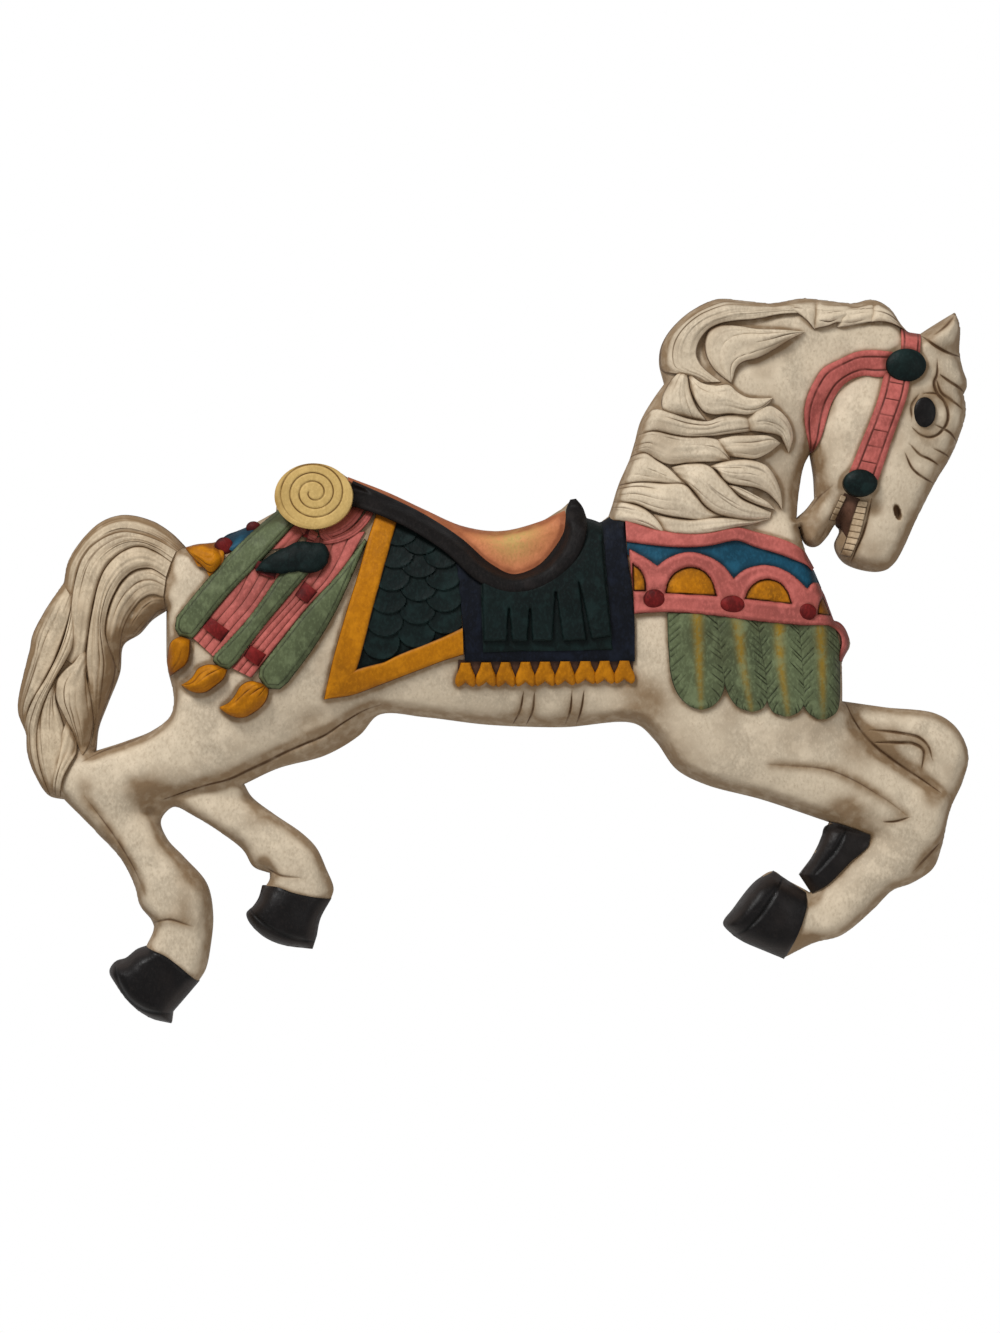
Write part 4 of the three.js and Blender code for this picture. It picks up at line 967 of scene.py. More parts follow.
def finish(piece, material):
    """Paints a piece and rides it on the horse."""
    piece.data.materials.clear()
    piece.data.materials.append(material)
    take(piece)
    bpy.ops.object.shade_smooth_by_angle(angle=SMOOTH_ANGLE)
    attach(piece, "root")
    CARVING.pieces.append(piece)
    return piece


CLOSE = {"radius": 1.8, "depth": 2.2, "share": 0.8}  # glazing and painted shade beside a step in the carving
AROUND = {"radius": 7, "depth": 8, "share": 0.4}  # and in a wide hollow
UNDERSIDE = {"radius": 3, "slope": 0.9, "least": 0.1, "share": 0.45}  # painted shade on faces turned down, away from the light above
RIM_GLAZE_AND_SHADE = {"reach": 12, "power": 1.5, "share": 0.5}  # glazing and painted shade along the rounded sawn edge
PATCH_SPREAD = 2.4  # a brown patch reaches this many times its radius
# painted shade beside the creases
CREASE_SHADE = {"radius": 3.5, "share": 0.8}
TAIL_GAP_SHADE = {"reach": 30, "share": 0.75}  # painted shade on the tail beside the gap
RIDGE_HEIGHT = 0.9  # a place this far above its neighbours is painted quite light, as highlight and dry-brushed wear


def settle_glaze_and_shade():
    """Works out how deep every place lies among its neighbours, for the brown glazing and the painted shade
    there, and for the painted highlight on what stands proud.
    """
    board = CARVING.board
    top = np.where(CARVING.mask, CARVING.high, 0)
    places = {}
    for piece in CARVING.pieces:
        x, y, z = corners_of(piece)
        h = -y
        places[piece] = (x, h, z)
        c = np.clip((x - board.west) / board.pitch, 0, board.shape[1] - 2).astype(int)
        r = np.clip((z - board.low) / board.pitch, 0, board.shape[0] - 2).astype(int)
        for row in (r, r + 1):
            for column in (c, c + 1):
                np.maximum.at(top, (row, column), h)
    near, wide, soft = (board.blur(top, CARVING.mask, kind["radius"]) for kind in (CLOSE, AROUND, UNDERSIDE))
    slope = np.gradient(soft, board.pitch, axis=0) * UNDERSIDE["slope"]
    under = np.clip(slope - UNDERSIDE["least"], 0, 1)
    rim = np.clip(1 - CARVING.away / RIM_GLAZE_AND_SHADE["reach"], 0, 1) ** RIM_GLAZE_AND_SHADE["power"]
    # painted shade and stains on the coat, and painted shade beside its creases
    shaded_and_stained = board.blank()
    for x, z, radius, strength in SHADE_AND_STAINS:
        cells, square = board.window(x, z, radius * PATCH_SPREAD)
        shaded_and_stained[cells] += strength * np.exp(-square / radius**2)
    beside_lines = rows_along(CREASES)[1]
    shaded_and_stained += board.blur(beside_lines, np.ones(board.shape), CREASE_SHADE["radius"]) * CREASE_SHADE["share"]
    gap = board.away([outline(TAIL_GAP, EDGE_PACE)], TAIL_GAP_SHADE["reach"])
    tail_gap = np.clip(1 - gap / TAIL_GAP_SHADE["reach"], 0, 1)
    for piece, (x, h, z) in places.items():
        beside, around = board.sample(near, x, z), board.sample(wide, x, z)
        close = np.clip((beside - h) / CLOSE["depth"], 0, 1) * CLOSE["share"]
        hollow = np.clip((around - h) / AROUND["depth"], 0, 1) * AROUND["share"]
        # painted shade along the rounded sawn edge and on faces turned down
        edge = board.sample(rim, x, z) * RIM_GLAZE_AND_SHADE["share"] + board.sample(under, x, z) * UNDERSIDE["share"]
        # painted shade and stains on the coat
        if piece.name == "horse_coat":
            edge += board.sample(shaded_and_stained, x, z)
        # painted shade on the tail beside the gap
        if piece.name == "tail":
            edge += board.sample(tail_gap, x, z) * TAIL_GAP_SHADE["share"]
        set_attribute(piece.data, "wash", np.clip(close + hollow + edge, 0, 1))
        # painted highlight and dry-brushed wear on raised places
        set_attribute(piece.data, "ridge", np.clip((h - beside) / RIDGE_HEIGHT, 0, 1))


# ---------------------------------------------------------------------------------------------
# Sizes and colours that a user would change


def tone(label, text, colour):
    return bpy.props.FloatVectorProperty(name=label, description=text, subtype="COLOR_GAMMA", size=3,
                                         min=0, max=1, default=[c / 255 for c in colour])


def size(label, text, default):
    return bpy.props.FloatProperty(name=label, description=text, default=default * MM, min=0,
                                   subtype="DISTANCE", unit="LENGTH")


class HorseSizes(bpy.types.PropertyGroup):
    cloth: size("Cloth", "Height of the saddle cloth above the horse", 3.2)
    strap: size("Straps", "Height of the hip straps above the horse", 6.0)
    collar: size("Collar", "Height of the breast collar above the horse", 6.0)
    feather: size("Feathers", "Height of the feathers above the horse", 4.2)
    rim: size("Saddle rim", "Height of the saddle rim above the horse", 7.5)
    bridle: size("Bridle", "Height of the bridle above the head", 3.4)
    hoof: size("Hooves", "Height of the hooves above the legs", 2.8)


class HorseColours(bpy.types.PropertyGroup):
    coat: tone("Coat", "Cream of the horse", (226, 208, 181))
    hair: tone("Hair", "Darker cream of the tail", (212, 192, 163))
    hoof: tone("Hooves", "Black of the hooves", (14, 11, 11))
    sage: tone("Straps", "Sage green of the hip straps", (96, 106, 74))
    feather: tone("Feathers", "Green of the feathers", (100, 110, 78))
    rose: tone("Rose", "Pink of the bridle, collar and pleats", (190, 99, 91))
    crimson: tone("Crimson", "Dark red of the studs and bands", (109, 22, 21))
    gold: tone("Gold", "Ochre of the borders, fringe and tassels", (190, 118, 3))
    navy: tone("Saddle cloth", "Dark blue of the saddle cloth", (9, 14, 25))
    blanket: tone("Blanket", "Dark green of the blanket and flap", (9, 24, 23))
    teal: tone("Teal", "Blue of the collar", (22, 79, 103))
    rim: tone("Saddle rim", "Brown black of the saddle rim", (18, 14, 13))
    seat: tone("Seat", "Salmon of the seat", (212, 132, 88))
    teeth: tone("Teeth", "Worn cream of the teeth", (200, 176, 144))
    # this brown also paints the shadow behind the fringe
    mouth: tone("Mouth", "Brown inside the mouth", (104, 72, 56))
    bedroll: tone("Bedroll", "Pale yellow of the rolled blanket", (215, 181, 113))


def sizes(name):
    return getattr(bpy.context.scene.horse_sizes, name) / MM


def colour(name):
    return tuple(c * 255 for c in getattr(bpy.context.scene.horse_colours, name))


def toned(value, share):
    """A darker (share below 1) or lighter (above 1) version of a colour."""
    return tuple(min(255.0, c * share + (12 if share > 1 else 0)) for c in value)


# Finish of each paint: its colour, how dark and light it varies, the brown of its glazing and painted shade,
# line, and how it shines
PAINTS = {
    "cream": ("coat", 0.91, 1.02, {"rough": 0.55}),
    "tail_cream": ("hair", 0.88, 1.06, {"rough": 0.58, "wash": 0.95, "line": (106, 80, 54)}),
    "horn": ("hoof", 0.66, 1.2, {"rough": 0.42, "glaze": (52, 44, 40), "line": (10, 9, 9), "gloss": 0.12}),
    "sage": ("sage", 0.86, 1.16, {"glaze": (70, 72, 48), "line": (44, 46, 30), "ridge": 0.5}),
    "plume": ("feather", 0.84, 1.2,
              {"glaze": (74, 72, 46), "line": (36, 40, 24), "ridge": 0.6, "fade": (160, 126, 36)}),
    "rose": ("rose", 0.88, 1.1, {"glaze": (132, 66, 54), "line": (86, 40, 32), "ridge": 0.6}),
    "crimson": ("crimson", 0.75, 1.25, {"glaze": (62, 22, 22), "line": (38, 14, 14)}),
    "ochre": ("gold", 0.88, 1.08, {"glaze": (136, 76, 18), "line": (82, 44, 14), "ridge": 0.4}),
    "old_gold": ("gold", 0.72, 1.12, {"glaze": (112, 66, 22), "line": (64, 38, 16)}),
    "navy": ("navy", 0.75, 1.4, {"glaze": (10, 13, 20), "line": (5, 6, 9), "rough": 0.6, "wash": 0.6}),
    "bottle_green": ("blanket", 0.75, 1.35,
                     {"glaze": (10, 17, 16), "line": (4, 7, 7), "rough": 0.6, "wash": 0.6}),
    "ink_green": ("blanket", 0.7, 1.2,
                  {"glaze": (12, 24, 26), "line": (5, 9, 10), "rough": 0.66, "wash": 0.5}),
    "rosette_green": ("blanket", 0.8, 1.5, {"glaze": (10, 20, 16), "line": (5, 9, 7), "rough": 0.5}),
    "peacock": ("teal", 0.8, 1.12, {"glaze": (16, 40, 54), "line": (10, 20, 26)}),
    "harness_black": ("rim", 0.8, 1.4, {"glaze": (18, 14, 15), "line": (6, 5, 6), "rough": 0.6, "wash": 0.5}),
    # the salmon seat turns to its second colour where a highlight is painted on it
    "salmon": ("seat", 0.92, 1.05, {"glaze": (150, 84, 52), "line": (92, 50, 32), "fade": (206, 176, 104)}),
    "straw": ("bedroll", 0.94, 1.05, {"glaze": (168, 128, 62), "line": (104, 70, 28), "wash": 0.7}),
    # the brown inside the mouth, also used for the painted shadow behind the fringe
    "mouth_brown": ("mouth", 0.8, 1.15, {"glaze": (66, 46, 34), "line": (40, 28, 20)}),
    "ivory": ("teeth", 0.88, 1.08, {"line": (60, 42, 28)}),
    "eye_black": ("rim", 0.7, 1.1, {"glaze": (20, 16, 20), "line": (10, 8, 8), "rough": 0.4, "gloss": 0.1}),
}


def painted(name):
    if name not in bpy.data.materials:
        key, dark, light, finish_of_it = PAINTS[name]
        base = colour(key)
        paint(name, base, toned(base, dark), toned(base, light), **finish_of_it)
    return bpy.data.materials[name]


# ---------------------------------------------------------------------------------------------
# One operator for each piece


# Spacing of the points in each zone of the coat: the head, the bare coat, and under the trappings
FINE, PLAIN, HIDDEN = 1.1, 1.5, 5.0
HIDING = 0.97  # a place is hidden where the trappings round it cover at least this share
CREASE_CUT = {"half": 0.8, "depth": 1.7}  # the sharpest cut at the bottom of a crease
VALLEY = {"from": 1.1, "half": 3.2, "depth": 0.5}  # a wide crease lies in a soft valley, by these shares


class HORSE_OT_coat(bpy.types.Operator):
    """Carves the bare horse, flat at the back"""
    bl_idname = "horse.coat"
    bl_label = "Horse"

    def execute(self, context):
        board = CARVING.board
        covered = board.inside([outline(SADDLE_CLOTH, 2)]) | board.inside([outline(BLANKET, 2)])
        for first, second, *_ in (*MANE, *TAIL):
            covered |= board.inside([np.array([*first, *reversed(second)], float)[:, :2]])
        covered = board.blur(covered.astype(float), np.ones(board.shape), 3)
        rows, taken = rows_along(CREASES)
        mask = CARVING.mask * 1.0
        points = [rows[(board.sample(CARVING.away, *rows.T) > 1) & (board.sample(mask, *rows.T) > 0.99)]]
        for pitch in (FINE, PLAIN, HIDDEN):
            grid = np.meshgrid(np.arange(-392, 384, pitch), np.arange(-336, 256, pitch))
            x, z = (line.ravel() for line in grid)
            deep = board.sample(CARVING.away, x, z) * (board.sample(mask, x, z) > 0.99)
            head = (x > 262) & (z > 28) | (x > 240) & (z > 100) & (z < 190)
            zone = np.where(board.sample(covered, x, z) > HIDING, HIDDEN, np.where(head, FINE, PLAIN))
            keep = (deep > pitch * POINT_ROOM) & (zone == pitch) & (board.sample(taken, x, z) < 0.01)
            points.append(np.stack([x[keep], z[keep]], axis=1))

        piece = cloth("horse_coat", CARVING.edges, 0, back=0, detail=self.carved, points=np.vstack(points))
        finish(piece, painted("cream"))
        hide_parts("horse")
        return {"FINISHED"}

    def carved(self, x, z, inward):
        """The creases, each a thin cut in a soft valley, and the nostril."""
        cut = cut_depth([(line, min(width, CREASE_CUT["half"]), min(depth, CREASE_CUT["depth"]))
                         for line, width, depth in CREASES], x, z)
        valley = cut_depth([(line, width * VALLEY["half"], depth * VALLEY["depth"])
                            for line, width, depth in CREASES if width > VALLEY["from"]], x, z)
        turn = NOSTRIL["lean"]
        u, v = x - NOSTRIL["x"], z - NOSTRIL["z"]
        across, along = u * math.cos(turn) + v * math.sin(turn), v * math.cos(turn) - u * math.sin(turn)
        hole = np.clip(1.2 - (across / NOSTRIL["across"]) ** 2 - (along / NOSTRIL["along"]) ** 2, 0, 1)
        return -cut - valley - NOSTRIL["depth"] * hole, np.clip(np.maximum(cut / 1.1, hole * 1.6), 0, 1)


def tucked(edge):
    """The same edge, drawn in where it would hang over the outline of the horse."""
    rims = np.vstack(CARVING.edges)
    places = smooth([p[:2] for p in edge], -24)
    over = CARVING.board.sample(CARVING.mask * 1.0, *places.T) < 0.5
    for i in np.nonzero(over)[0]:
        places[i] = rims[np.hypot(*(rims - places[i]).T).argmin()]
    return places


def locks(name, table, seed, lift=2.4):
    """Carves every lock of a table and joins them."""
    made = []
    for i, (first, second, rise, strands) in enumerate(table):
        a, b = smooth([p[:2] for p in first], -12), smooth([p[:2] for p in second], -12)
        across = int(max(8, np.hypot(*(a - b).T).max() / 0.95))
        made.append(strip(f"{name}_{i}", tucked(first), tucked(second), hair(rise, strands, seed + i, lift),
                          across=across, step=1.7))
    return join(name, made)


class HORSE_OT_hair(bpy.types.Operator):
    """Carves the locks of the mane and tail"""
    bl_idname = "horse.hair"
    bl_label = "Mane and tail"

    def execute(self, context):
        finish(locks("mane", MANE, 10), painted("cream"))
        finish(locks("tail", TAIL, 40, 1.6), painted("tail_cream"))
        return {"FINISHED"}


class HORSE_OT_hooves(bpy.types.Operator):
    """Makes the hooves, each with the groove of its shoe"""
    bl_idname = "horse.hooves"
    bl_label = "Hooves"

    def execute(self, context):
        made = []
        for i, (edge, shoe) in enumerate(HOOVES):

            def detail(x, z, inward, shoe=shoe):
                cut = cut_depth([(shoe, 1.2, 2.0)], x, z)
                return -cut, np.clip(cut / 1.2, 0, 1)
            made.append(cloth(f"hoof_{i}", [edge], sizes("hoof"), pitch=1.0, detail=detail, back=3, turn=2.4))
        finish(join("hooves", made), painted("horn"))
        return {"FINISHED"}


SEAT_HIGHLIGHT = {"from": 13, "reach": 22, "middle": 2, "half": 34}  # where a painted highlight turns the seat pale yellow


class HORSE_OT_saddle(bpy.types.Operator):
    """Makes the seat and the rim round it"""
    bl_idname = "horse.saddle"
    bl_label = "Saddle"

    def execute(self, context):
        seat = cloth("seat", [SEAT], 0.8, back=4)
        x, _, z = corners_of(seat)
        rim = smooth([p[:2] for p in RIM], 2)
        off_rim = np.sqrt(((x[:, None] - rim[:, 0]) ** 2 + (z[:, None] - rim[:, 1]) ** 2).min(axis=1))
        painted_light_and_marks = SEAT_HIGHLIGHT
        # painted highlight: pale yellow on the seat away from the rim, strongest at its middle
        fade = np.clip((off_rim - painted_light_and_marks["from"]) / painted_light_and_marks["reach"], 0, 1)
        set_attribute(seat.data, "fade", fade * np.exp(-((x - painted_light_and_marks["middle"]) / painted_light_and_marks["half"]) ** 2))
        finish(seat, painted("salmon"))
        rim = strip("saddle_rim", *rails(RIM), self.rim, across=18, back=8)
        finish(rim, painted("harness_black"))
        return {"FINISHED"}

    def rim(self, u, v, half):
        """A flat rim with rounded shoulders, which rises to the cantle and the pommel."""
        lift = 6 * np.exp(-(u / 0.3) ** 2) + 7 * np.exp(-((1 - u) / 0.16) ** 2)
        return lift + sizes("rim") * (1 - 0.4 * np.abs(v) ** 5) + 1.0 * v, np.abs(v) ** 16


class HORSE_OT_bedroll(bpy.types.Operator):
    """Makes the rolled blanket behind the saddle, with the edge of the cloth winding inwards"""
    bl_idname = "horse.bedroll"
    bl_label = "Bedroll"

    def execute(self, context):
        roll = BEDROLL
        ring = [(roll["x"] + roll["across"] * math.cos(t), roll["z"] + roll["along"] * math.sin(t))
                for t in np.linspace(0, 2 * math.pi, 33)]
        piece = cloth("bedroll", [[ring]], 1.2, pitch=0.75, turn=3.2, detail=self.winding,
                      level=roll["crown"])
        finish(piece, painted("straw"))
        return {"FINISHED"}

    def winding(self, x, z, inward):
        """A spiral groove that opens from the middle until it runs out near the edge."""
        roll = BEDROLL
        u, v = x - roll["x"] - roll["heart"][0], (z - roll["z"] - roll["heart"][1]) / roll["squash"]
        reach = np.hypot(u, v) / roll["pitch"] - roll["start"]
        angle = (np.arctan2(v, u) - math.pi) / (2 * math.pi) % 1.0
        turn = np.round(reach - angle)
        off = np.abs(reach - angle - turn) * roll["pitch"]
        along = turn + angle
        shown = np.clip((along + 0.12) * 9, 0, 1) * np.clip((roll["turns"] - along) * 3, 0, 1)
        cut = np.exp(-(off / roll["half"]) ** 2) * shown
        shoulder = 0.5 * np.clip(1 - inward / 3.5, 0, 1) ** 2
        return -roll["depth"] * cut - shoulder, np.clip(cut, 0, 1)


class HORSE_OT_saddle_cloth(bpy.types.Operator):
    """Makes the saddle cloth, the slit flap over it and its fringe, with a painted shadow behind the fringe
    """
    bl_idname = "horse.saddle_cloth"
    bl_label = "Saddle cloth"

    def execute(self, context):
        rise = sizes("cloth")
        finish(cloth("saddle_cloth", [SADDLE_CLOTH], rise), painted("navy"))
        made = [cloth("flap", [FLAP], rise + 1.4, turn=1.2),
                cloth("slit_flap", [SLIT_FLAP], rise + 4.2, pitch=1.0, turn=1.4, detail=self.strips)]
        finish(join("flap", made), painted("bottle_green"))
        # a dark brown sheet behind the top of the fringe: painted shadow between the tufts
        band = [[(FRINGE["west"] + 2, -40), (FRINGE["east"] - 1, -39)], [(FRINGE["east"] - 2, -51)],
                [(FRINGE["west"] + 1, -54)], [(FRINGE["west"] + 2, -40)]]
        finish(cloth("fringe_band", [band], 0.8), painted("mouth_brown"))
        finish(self.fringe(), painted("ochre"))
        return {"FINISHED"}

    def strips(self, x, z, inward):
        """The strips curl out a little at their ends, which are cut sharp."""
        curl = 1.4 * np.clip((2 - z) / 26, 0, 1) ** 2
        return curl, np.clip(1 - inward / 0.8, 0, 1) * 0.5 * (z < 24)

    def fringe(self):
        """A row of tufts, each narrow at the top and parted at the bottom."""
        count = FRINGE["lobes"]
        pace = (FRINGE["east"] - FRINGE["west"]) / count
        rng = np.random.default_rng(8)
        made = []
        for i in range(count):
            share = i / (count - 1)
            x = FRINGE["west"] + pace * (i + 0.5) + rng.uniform(-0.6, 0.6)
            top, low = (first + (last - first) * share for first, last in (FRINGE["top"], FRINGE["low"]))
            low += rng.uniform(-0.8, 0.8)
            half = pace / 2 * rng.uniform(0.98, 1.08)
            left = [(-0.46, top - 0.6), (-0.62, top - 5), (-0.98, low + 8), (-1, low + 2.5),
                    (-0.74, low + 0.4), (-0.3, low + 2)]
            edge = [[(x + half * out, height) for out, height in left], [(x, low + 4)],
                    [(x - half * out, height) for out, height in reversed(left)]]
            made.append(cloth(f"tuft_{i}", [edge], 4.4 + 0.4 * (i % 2), pitch=0.9, turn=2.2))
        return join("fringe", made)


class HORSE_OT_blanket(bpy.types.Operator):
    """Makes the scaled blanket and its gold border"""
    bl_idname = "horse.blanket"
    bl_label = "Blanket"

    def execute(self, context):
        piece = cloth("blanket", [BLANKET], 1.0, pitch=0.85, detail=self.scales)
        finish(piece, painted("bottle_green"))
        edges = [strip(f"border_{i}", a, b, self.band, across=16) for i, (a, b) in enumerate(BORDER)]
        finish(join("blanket_border", edges), painted("ochre"))
        return {"FINISHED"}

    def band(self, u, v, half):
        """A flat band with narrow chamfers."""
        return 5.0 - 1.6 * np.clip((np.abs(v) - 0.8) / 0.2, 0, 1), np.abs(v) ** 18 * 0.9

    def scales(self, x, z, inward):
        """Round-ended scales, each lying over the one below it and thickest at its lower edge."""
        high, groove = np.zeros(len(x)), np.zeros(len(x))
        topmost = np.full(len(x), -1e9)
        for (x0, z0), (x1, z1), count in SCALES["columns"]:
            for i in range(count):
                share = i / (count - 1)
                middle, low = x0 + (x1 - x0) * share, z0 + (z1 - z0) * share
                side = (x - middle) / SCALES["half"]
                round_end = SCALES["round"] * (1 - np.sqrt(np.clip(1 - side * side, 0, 1)))
                above = z - (low + round_end)
                covers = (np.abs(side) < 1) & (above > 0) & (low > topmost)
                swell = 0.5 + SCALES["tilt"] * np.exp(-above / 9) * np.clip(above / 0.8, 0, 1)
                high = np.where(covers, swell, high)
                groove = np.where(covers, 0, groove)
                topmost = np.where(covers, low, topmost)
                shadow = (np.abs(side) < 1) & (above <= 0) & (above > -1.5) & (low > topmost)
                groove = np.where(shadow, np.maximum(groove, 1 + above / 1.8), groove)
        return high, groove


def ribbed(rise, count):
    """Soft pleats side by side."""
    def shape(u, v, half):
        fold = np.abs(np.sin(np.pi * (v * 0.5 + 0.5) * count))
        return rise * (0.7 + 0.4 * fold**0.7), (1 - fold) ** 5 * 0.8
    return shape


class HORSE_OT_hip_straps(bpy.types.Operator):
    """Makes the straps, pleats, leaf, bow and tassels over the hip"""
    bl_idname = "horse.hip_straps"
    bl_label = "Hip trappings"

    def execute(self, context):
        rise = sizes("strap")
        made = [strip(f"pleat_{i}", a, b, ribbed(2.4, count), across=6 * count + 8)
                for i, (a, b, count) in enumerate(PLEATS)]
        made += [strip(f"bow_{i}", *rails(line), self.ribbon(4.4), across=14, step=1.2)
                 for i, line in enumerate(BOW)]
        finish(join("pleats", made), painted("rose"))
        bands = [strip(f"band_{i}", a, b, round_roll(5), across=12, step=1.2)
                 for i, (a, b) in enumerate(CRIMSON)]
        bands += [dome(f"knot_{i}", *knot, 4, 2.4) for i, knot in enumerate(KNOTS)]
        finish(join("bands", bands), painted("crimson"))
        finish(cloth("croup_cloth", [CROUP_CLOTH], 3.4, turn=3), painted("peacock"))
        straps = [cloth(f"strap_{i}", [edge], rise, pitch=1.0, turn=0.9, detail=self.bevel)
                  for i, edge in enumerate(STRAPS)]
        finish(join("hip_straps", straps), painted("sage"))
        leaf = cloth("leaf", [LEAF], rise + 3, turn=2.6, detail=self.puckers)
        finish(leaf, painted("ink_green"))
        tassels = [locks("tassels", TASSELS, 70),
                   cloth("croup_leaf", [CROUP_LEAF], 4, turn=2.4, detail=self.folds)]
        finish(join("tassels", tassels), painted("ochre"))
        return {"FINISHED"}

    def ribbon(self, rise):
        """A ribbon with a line along each side."""
        def shape(u, v, half):
            groove = np.exp(-((np.abs(v) - 0.4) * half / 0.6) ** 2) * 0.6
            return rise * (1 - 0.35 * v**4) - 0.5 * groove, np.maximum(groove, np.abs(v) ** 16)
        return shape

    def bevel(self, x, z, inward):
        """A raised middle with bevelled sides and a thin line between them."""
        line = np.exp(-((inward - 3.2) / 0.8) ** 2)
        return -2.4 * np.clip(1 - inward / 3.0, 0, 1) - 0.5 * line, np.maximum(line * 0.85, inward < 0.4)

    def puckers(self, x, z, inward):
        """Short soft folds that run in from the edge of the leaf."""
        fold = np.cos(0.62 * x + 0.25 * z) * np.clip(1 - inward / 8, 0, 1)
        return 0.5 * fold + 1.6 * np.clip(inward / 9, 0, 1), np.clip(0.6 - inward, 0, 1)

    def folds(self, x, z, inward):
        cut = cut_depth(CROUP_FOLDS, x, z)
        return -cut, np.clip(np.maximum(cut / 1.4, 0.6 - inward), 0, 1)


QUILL = {"top": 4.1, "tip": 2.0, "ends": 1.2}  # half width of the gold at each end, and where it ends


class HORSE_OT_collar(bpy.types.Operator):
    """Makes the breast collar with its arches, suns, studs and feathers"""
    bl_idname = "horse.collar"
    bl_label = "Breast collar"

    def execute(self, context):
        rise = sizes("collar")
        finish(cloth("collar_field", [COLLAR_FIELD], 1.8), painted("peacock"))
        suns = [cloth(f"sun_{i}", [edge], rise - 2.6, pitch=1.0, turn=1, detail=self.sun)
                for i, edge in enumerate(SUNS)]
        finish(join("suns", suns), painted("old_gold"))
        made = [cloth("collar", [COLLAR, *SUNS], rise, pitch=1.0, turn=2.2, detail=self.moulding),
                strip("collar_top", *COLLAR_TOP, flat_strap(rise - 0.4), across=16),
                strip("collar_loop", *rails(LOOP), round_roll(rise), across=12)]
        finish(join("collar", made), painted("rose"))
        studs = [dome(f"stud_{i}", *stud, 3.4, rise - 0.6) for i, stud in enumerate(STUDS)]
        finish(join("studs", studs), painted("crimson"))
        made = [strip(f"feather_{i}", a, b, self.barbs(sizes("feather"), i), across=44, step=0.9)
                for i, (a, b, _) in enumerate(FEATHERS)]
        plume = join("feathers", made)
        self.gild(plume)
        finish(plume, painted("plume"))
        return {"FINISHED"}

    def gild(self, plume):
        """Paints the quills: broad and bright at the top, gone near the tip."""
        x, _, z = corners_of(plume)
        gilt = np.zeros(len(x))
        for *_, quill in FEATHERS:
            line = smooth(quill, -40)
            square = (x[:, None] - line[:, 0]) ** 2 + (z[:, None] - line[:, 1]) ** 2
            share = square.argmin(axis=1) / (len(line) - 1)
            half = QUILL["top"] - (QUILL["top"] - QUILL["tip"]) * share
            shown = np.clip(QUILL["ends"] - share, 0, 1) ** 0.5
            gilt = np.maximum(gilt, np.exp(-square.min(axis=1) / half**2) * shown)
        set_attribute(plume.data, "fade", gilt)

    def moulding(self, x, z, inward):
        """A low bead along the edge of the collar."""
        return 0.5 * np.exp(-((inward - 3) / 1.5) ** 2), np.clip(0.9 - inward, 0, 1)

    def sun(self, x, z, inward):
        """A half disc that swells towards its middle."""
        return 0.9 * np.clip(inward / 5, 0, 1), np.clip(1.2 - inward, 0, 1)

    def barbs(self, rise, index):
        """Slanting cuts that fall away from the quill in pairs, some long and some short."""
        rng = np.random.default_rng(30 + index)
        # the side of the quill, where each cut starts along it and beside it, and its strength
        cuts = [(side, start + 0.05 * pair + rng.uniform(-0.008, 0.008), rng.uniform(0.2, 0.6),
                 rng.uniform(0.7, 1.2))
                for side in (-1, 1) for start in np.arange(-0.1, 0.8, 0.135) + rng.uniform(-0.03, 0.03)
                for pair in (0, 1)]

        def shape(u, v, half):
            out = np.abs(v)
            vane = rise * np.sqrt(np.clip(1 - 0.62 * v * v, 0, 1)) * (0.7 + 0.3 * np.clip(9 * (1 - u), 0, 1))
            deep = 0.14 * np.abs(np.sin(70 * (u - 0.2 * out))) * (out > 0.15)
            for side, start, inner, strength in cuts:
                gap = (u - start - 0.21 * out) * 75
                width = 0.75 * np.clip((out - inner) * 3 + 0.2, 0.05, 1)
                reach = (v * side > 0) * np.clip((out - inner) * 6, 0, 1) * np.clip((1 - out) * 12, 0, 1)
                deep = np.maximum(deep, np.exp(-(gap / np.maximum(width, 0.3)) ** 2) * reach * strength)
            return vane - 0.8 * deep, np.maximum(deep * 0.85, out**20)
        return shape


def dome(name, x, z, across, tall, rise, base):
    """A rounded boss: the front half of a squashed ball that stands on what lies under it."""
    deselect()
    bpy.ops.mesh.primitive_uv_sphere_add(segments=44, ring_count=22, radius=1)
    ball = bpy.context.object
    ball.name = ball.data.name = name
    middle = float(CARVING.under(x, z)) + base
    ball.scale = (across * MM, rise * MM, tall * MM)
    ball.location = (x * MM, -middle * MM, z * MM)
    bpy.ops.object.transform_apply(location=True, rotation=True, scale=True)
    bpy.ops.object.mode_set(mode="EDIT")
    bpy.ops.mesh.select_all(action="SELECT")
    bpy.ops.mesh.bisect(plane_co=(0, -middle * MM, 0), plane_no=(0, 1, 0), clear_outer=True)
    bpy.ops.object.mode_set(mode="OBJECT")
    px, _, pz = corners_of(ball)
    off = np.hypot((px - x) / across, (pz - z) / tall)
    set_attribute(ball.data, "groove", np.clip((off - 0.93) * 14, 0, 1))
    close_back(ball, middle - base - 4)
    return ball


RUNGS = 6.4  # cross cuts along the cheek strap


